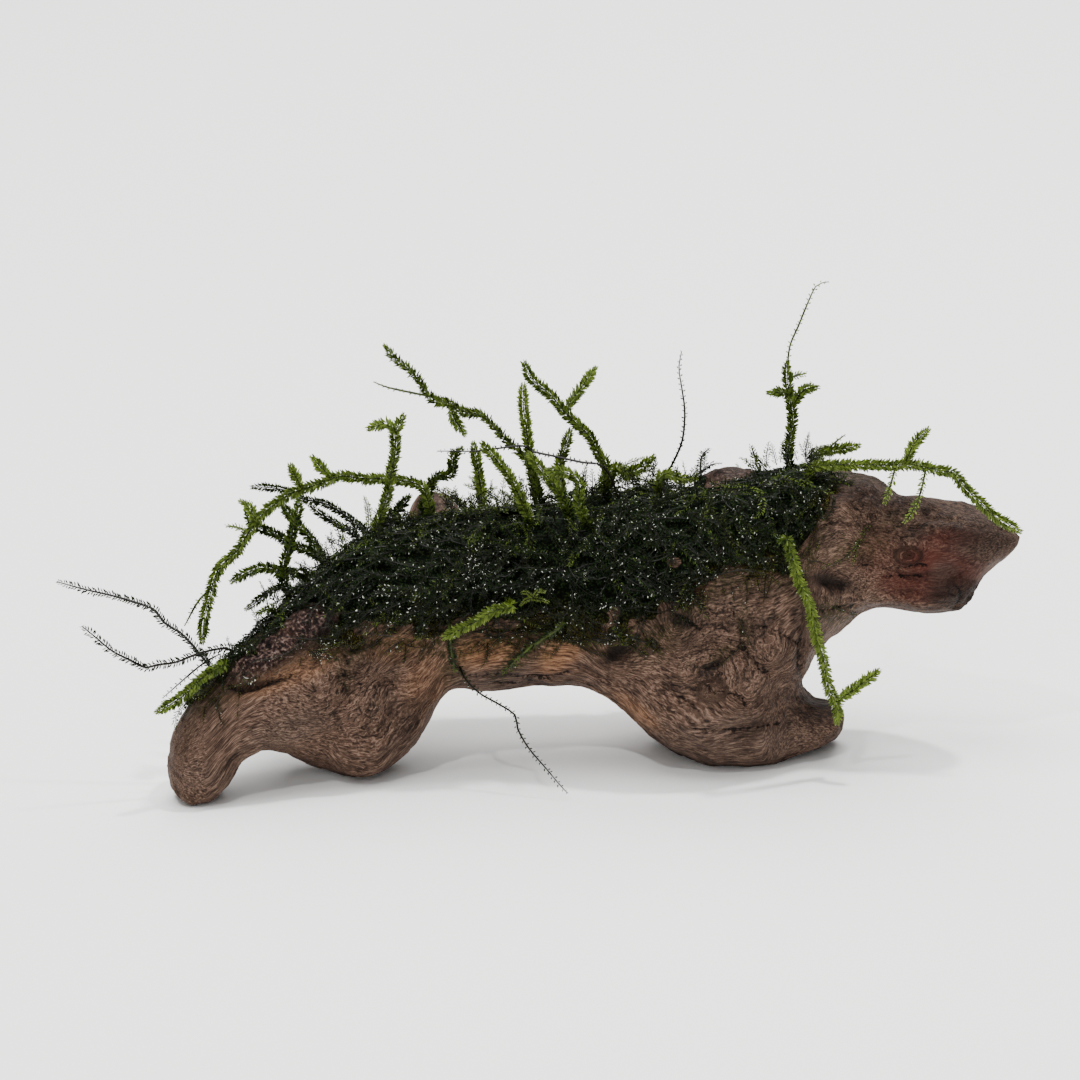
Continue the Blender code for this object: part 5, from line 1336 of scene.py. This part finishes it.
def make_thatch():
    """The dark body of the mat under its strands, its near black partly painted shade inside the mat."""
    bm = merged_nodes([MAT_NODE])
    bmesh.ops.subdivide_edges(bm, edges=bm.edges, cuts=2, use_grid_fill=True)
    bmesh.ops.triangulate(bm, faces=bm.faces)
    bm.normal_update()
    wood = tree_of(WOOD_NODES)
    for vert in bm.verts:
        _, _, _, distance = wood.find_nearest(vert.co)
        if distance > 2.0 * GAP:
            across, rise, depth = spot_seen(vert.co)
            inset = CORE_INSET + noise.noise(vert.co / (1.8 * MM)) * CORE_LUMPS
            if in_window(across, rise, depth):
                inset = MAT_THICKNESS
            vert.co -= vert.normal * min(inset * MM, 0.8 * distance)
    mesh = mesh_of("moss_thatch_in_painted_shade", bm)
    across, rise, depth = as_seen(points_of(mesh))
    edge = np.exp(-((near_mat_edge(across, rise) - 0.5) / 3.0) ** 2) * (depth < 6.0)
    add_attribute(mesh, "edge", "FLOAT", "value", edge)
    mesh.materials.append(moss_thatch_in_painted_shade())
    mesh.shade_smooth()
    thatch = new_object("moss_thatch_in_painted_shade", mesh)
    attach(thatch, "root")
    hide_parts(MAT_NODE)


def make_wisps():
    """Thin strands that stray from the mat over the bare wood."""
    rng = np.random.default_rng(WISP_SEED)
    ground = tree_of(WOOD_NODES + [MAT_NODE])
    growth = Growth()
    for kind, tint, age, points in WISPS:
        route = front_route(points, 0.45 * MM, ground)
        growth.add_shoot(route, -np.array(VIEW_DIRECTION), kind, tint, age, rng)
    growth.piece("moss_wisps", "moss_mat", bpy.data.materials["Wet moss leaves"],
                 bpy.data.materials["Dark moss stems"])


def make_stage():
    """A white floor, light from above and behind with a front fill, and the camera."""
    settings = bpy.context.scene.moss_stage
    bm = bmesh.new()
    bmesh.ops.create_circle(bm, cap_ends=True, segments=64, radius=settings.floor_radius)
    mesh = mesh_of("floor", bm)
    mesh.materials.append(pale_floor())
    floor = new_object("floor", mesh)
    world = bpy.data.worlds.new("Studio")
    world.use_nodes = True
    background = world.node_tree.nodes["Background"].inputs
    background["Color"].default_value = linear("#f3f5f8")
    background["Strength"].default_value = settings.ambient
    bpy.context.scene.world = world
    for name, (width, power, share, place) in LIGHTS.items():
        lamp = bpy.data.lights.new(name, "AREA")
        lamp.size = width
        lamp.energy = getattr(settings, power) * share
        light = new_object(name, lamp)
        light.location = place
        light.rotation_euler = (LIGHT_TARGET - Vector(place)).to_track_quat("-Z", "Y").to_euler()
    view = bpy.data.cameras.new("view")
    view.sensor_width = SENSOR_WIDTH
    view.lens = SENSOR_WIDTH * VIEW_DISTANCE / VIEW_WIDTH
    view.clip_start = 0.05
    view.clip_end = 50.0
    camera = new_object("view", view)
    camera.location = EYE
    camera.rotation_euler = VIEW_DIRECTION.to_track_quat("-Z", "Y").to_euler()
    bpy.context.scene.camera = camera


def colour_setting(name, description, code):
    """A colour that a user sets, its default given as sRGB hex."""
    return FloatVectorProperty(
        name=name, description=description, default=linear(code)[:3], min=0.0, max=1.0, size=3,
        subtype="COLOR")


def length_setting(name, description, default, low, high):
    """A length that a user sets, given in millimetres."""
    return FloatProperty(
        name=name, description=description, default=default * MM, min=low * MM, max=high * MM, unit="LENGTH",
        precision=5)


def power_setting(name, description, default):
    """A light's power in watts."""
    return FloatProperty(
        name=name, description=description, default=default, min=0.0, max=500.0, unit="POWER")


class MossWoodSettings(bpy.types.PropertyGroup):
    """Sizes and colours of the driftwood."""

    skin_step: length_setting("Skin step", "Distance between the points of the wood's skin", 0.6, 0.3, 3.0)
    relief: FloatProperty(
        name="Relief", description="Strength of the furrows, cracks and bark", default=1.0, min=0.0, max=3.0)
    fibre_width: length_setting("Fibre width", "Width of the finest wood fibres that show", 0.15, 0.05, 3.0)
    fibre_depth: length_setting("Fibre depth", "Depth of the fine grooves between fibres", 0.22, 0.0, 2.0)
    dark: colour_setting("Dark wood", "Colour of the darkest fibres", "#2c1f18")
    middle: colour_setting("Wood", "Main colour of the wood", "#533f34")
    light: colour_setting("Light wood", "Colour of the raised fibres", "#7f6758")
    furrow: colour_setting("Furrow", "Colour in the grooves between fibres", "#0d0806")


class MossGrowthSettings(bpy.types.PropertyGroup):
    """Density, sizes and colours of the moss."""

    strands: IntProperty(
        name="Strands", description="Creeping leafy strands on the mat", default=1180, min=10, max=1400)
    fringe: IntProperty(
        name="Fringe", description="Short old strands along the mat's lower edge", default=260, min=0,
        max=600)
    crown_shoots: IntProperty(
        name="Crown shoots", description="Young shoots standing on top of the mat", default=140, min=0,
        max=200)
    tufts: IntProperty(
        name="Tufts", description="Short standing tips on top of the mat", default=130, min=0, max=400)
    strand_length: length_setting("Strand length", "Mean length of a creeping strand", 11.0, 2.0, 40.0)
    dark: colour_setting("Darkest leaves", "Leaves deep in the mat", "#081007")
    deep: colour_setting("Dark leaves", "Shaded leaves", "#17280f")
    fresh: colour_setting("Fresh leaves", "Leaves of the free shoots", "#5f742e")
    bright: colour_setting("Bright leaves", "Youngest leaves", "#a9bb62")
    glow: colour_setting("Light through leaves", "Colour of light that comes through a leaf", "#b6c662")


class MossStageSettings(bpy.types.PropertyGroup):
    """Floor and light."""

    floor_radius: FloatProperty(
        name="Floor radius", description="Radius of the white floor", default=6.0, min=1.0, max=50.0,
        unit="LENGTH")
    ambient: FloatProperty(
        name="Ambient", description="Strength of the even light from all round", default=0.3, min=0.0,
        max=5.0)
    back_power: power_setting("Back light", "Power of the light above and behind", 30.0)
    top_power: power_setting("Top light", "Power of the light overhead", 22.0)
    fill_power: power_setting("Front fill", "Power of the light at the front", 10.0)
    spark_power: power_setting("Spark light", "Power of the small lights that make wet leaves glint", 10.0)


class MOSS_OT_driftwood(bpy.types.Operator):
    """Make the driftwood with its grain, cracks and stains"""

    bl_idname = "moss.driftwood"
    bl_label = "Driftwood"

    def execute(self, context):
        make_driftwood()
        return {"FINISHED"}


class MOSS_OT_shoots(bpy.types.Operator):
    """Make the free moss shoots and the strands that lie on the wood"""

    bl_idname = "moss.shoots"
    bl_label = "Moss shoots"

    def execute(self, context):
        make_shoots()
        return {"FINISHED"}


class MOSS_OT_mat(bpy.types.Operator):
    """Make the moss mat: thatch, creeping strands and standing tips"""

    bl_idname = "moss.mat"
    bl_label = "Moss mat"

    def execute(self, context):
        make_thatch()
        make_mat()
        return {"FINISHED"}


class MOSS_OT_wisps(bpy.types.Operator):
    """Make the thin strands that stray over the wood"""

    bl_idname = "moss.wisps"
    bl_label = "Stray strands"

    def execute(self, context):
        make_wisps()
        return {"FINISHED"}


class MOSS_OT_stage(bpy.types.Operator):
    """Make the floor, the lights and the camera"""

    bl_idname = "moss.stage"
    bl_label = "Stage"

    def execute(self, context):
        make_stage()
        return {"FINISHED"}


class MOSS_PT_panel(bpy.types.Panel):
    """Lists the pieces of the moss on driftwood and their settings"""

    bl_label = "Moss on Driftwood"
    bl_idname = "MOSS_PT_panel"
    bl_space_type = "VIEW_3D"
    bl_region_type = "UI"
    bl_category = "Moss"

    def draw(self, context):
        layout = self.layout
        for operator in OPERATORS:
            layout.operator(operator.bl_idname)
        for settings in (context.scene.moss_wood, context.scene.moss_growth, context.scene.moss_stage):
            box = layout.box()
            for name in settings.bl_rna.properties.keys():
                if name not in ("rna_type", "name"):
                    box.prop(settings, name)


OPERATORS = (MOSS_OT_driftwood, MOSS_OT_shoots, MOSS_OT_mat, MOSS_OT_wisps, MOSS_OT_stage)
SETTINGS = {
    "moss_wood": MossWoodSettings,
    "moss_growth": MossGrowthSettings,
    "moss_stage": MossStageSettings,
}


def register():
    for kind in (*SETTINGS.values(), *OPERATORS, MOSS_PT_panel):
        bpy.utils.register_class(kind)
    for name, kind in SETTINGS.items():
        setattr(bpy.types.Scene, name, PointerProperty(type=kind))


def unregister():
    for name in SETTINGS:
        delattr(bpy.types.Scene, name)
    for kind in (MOSS_PT_panel, *reversed(OPERATORS), *SETTINGS.values()):
        bpy.utils.unregister_class(kind)


def main():
    register()
    bpy.ops.moss.driftwood()
    bpy.ops.moss.shoots()
    bpy.ops.moss.mat()
    bpy.ops.moss.wisps()
    bpy.ops.moss.stage()


if __name__ == "__main__":
    main()
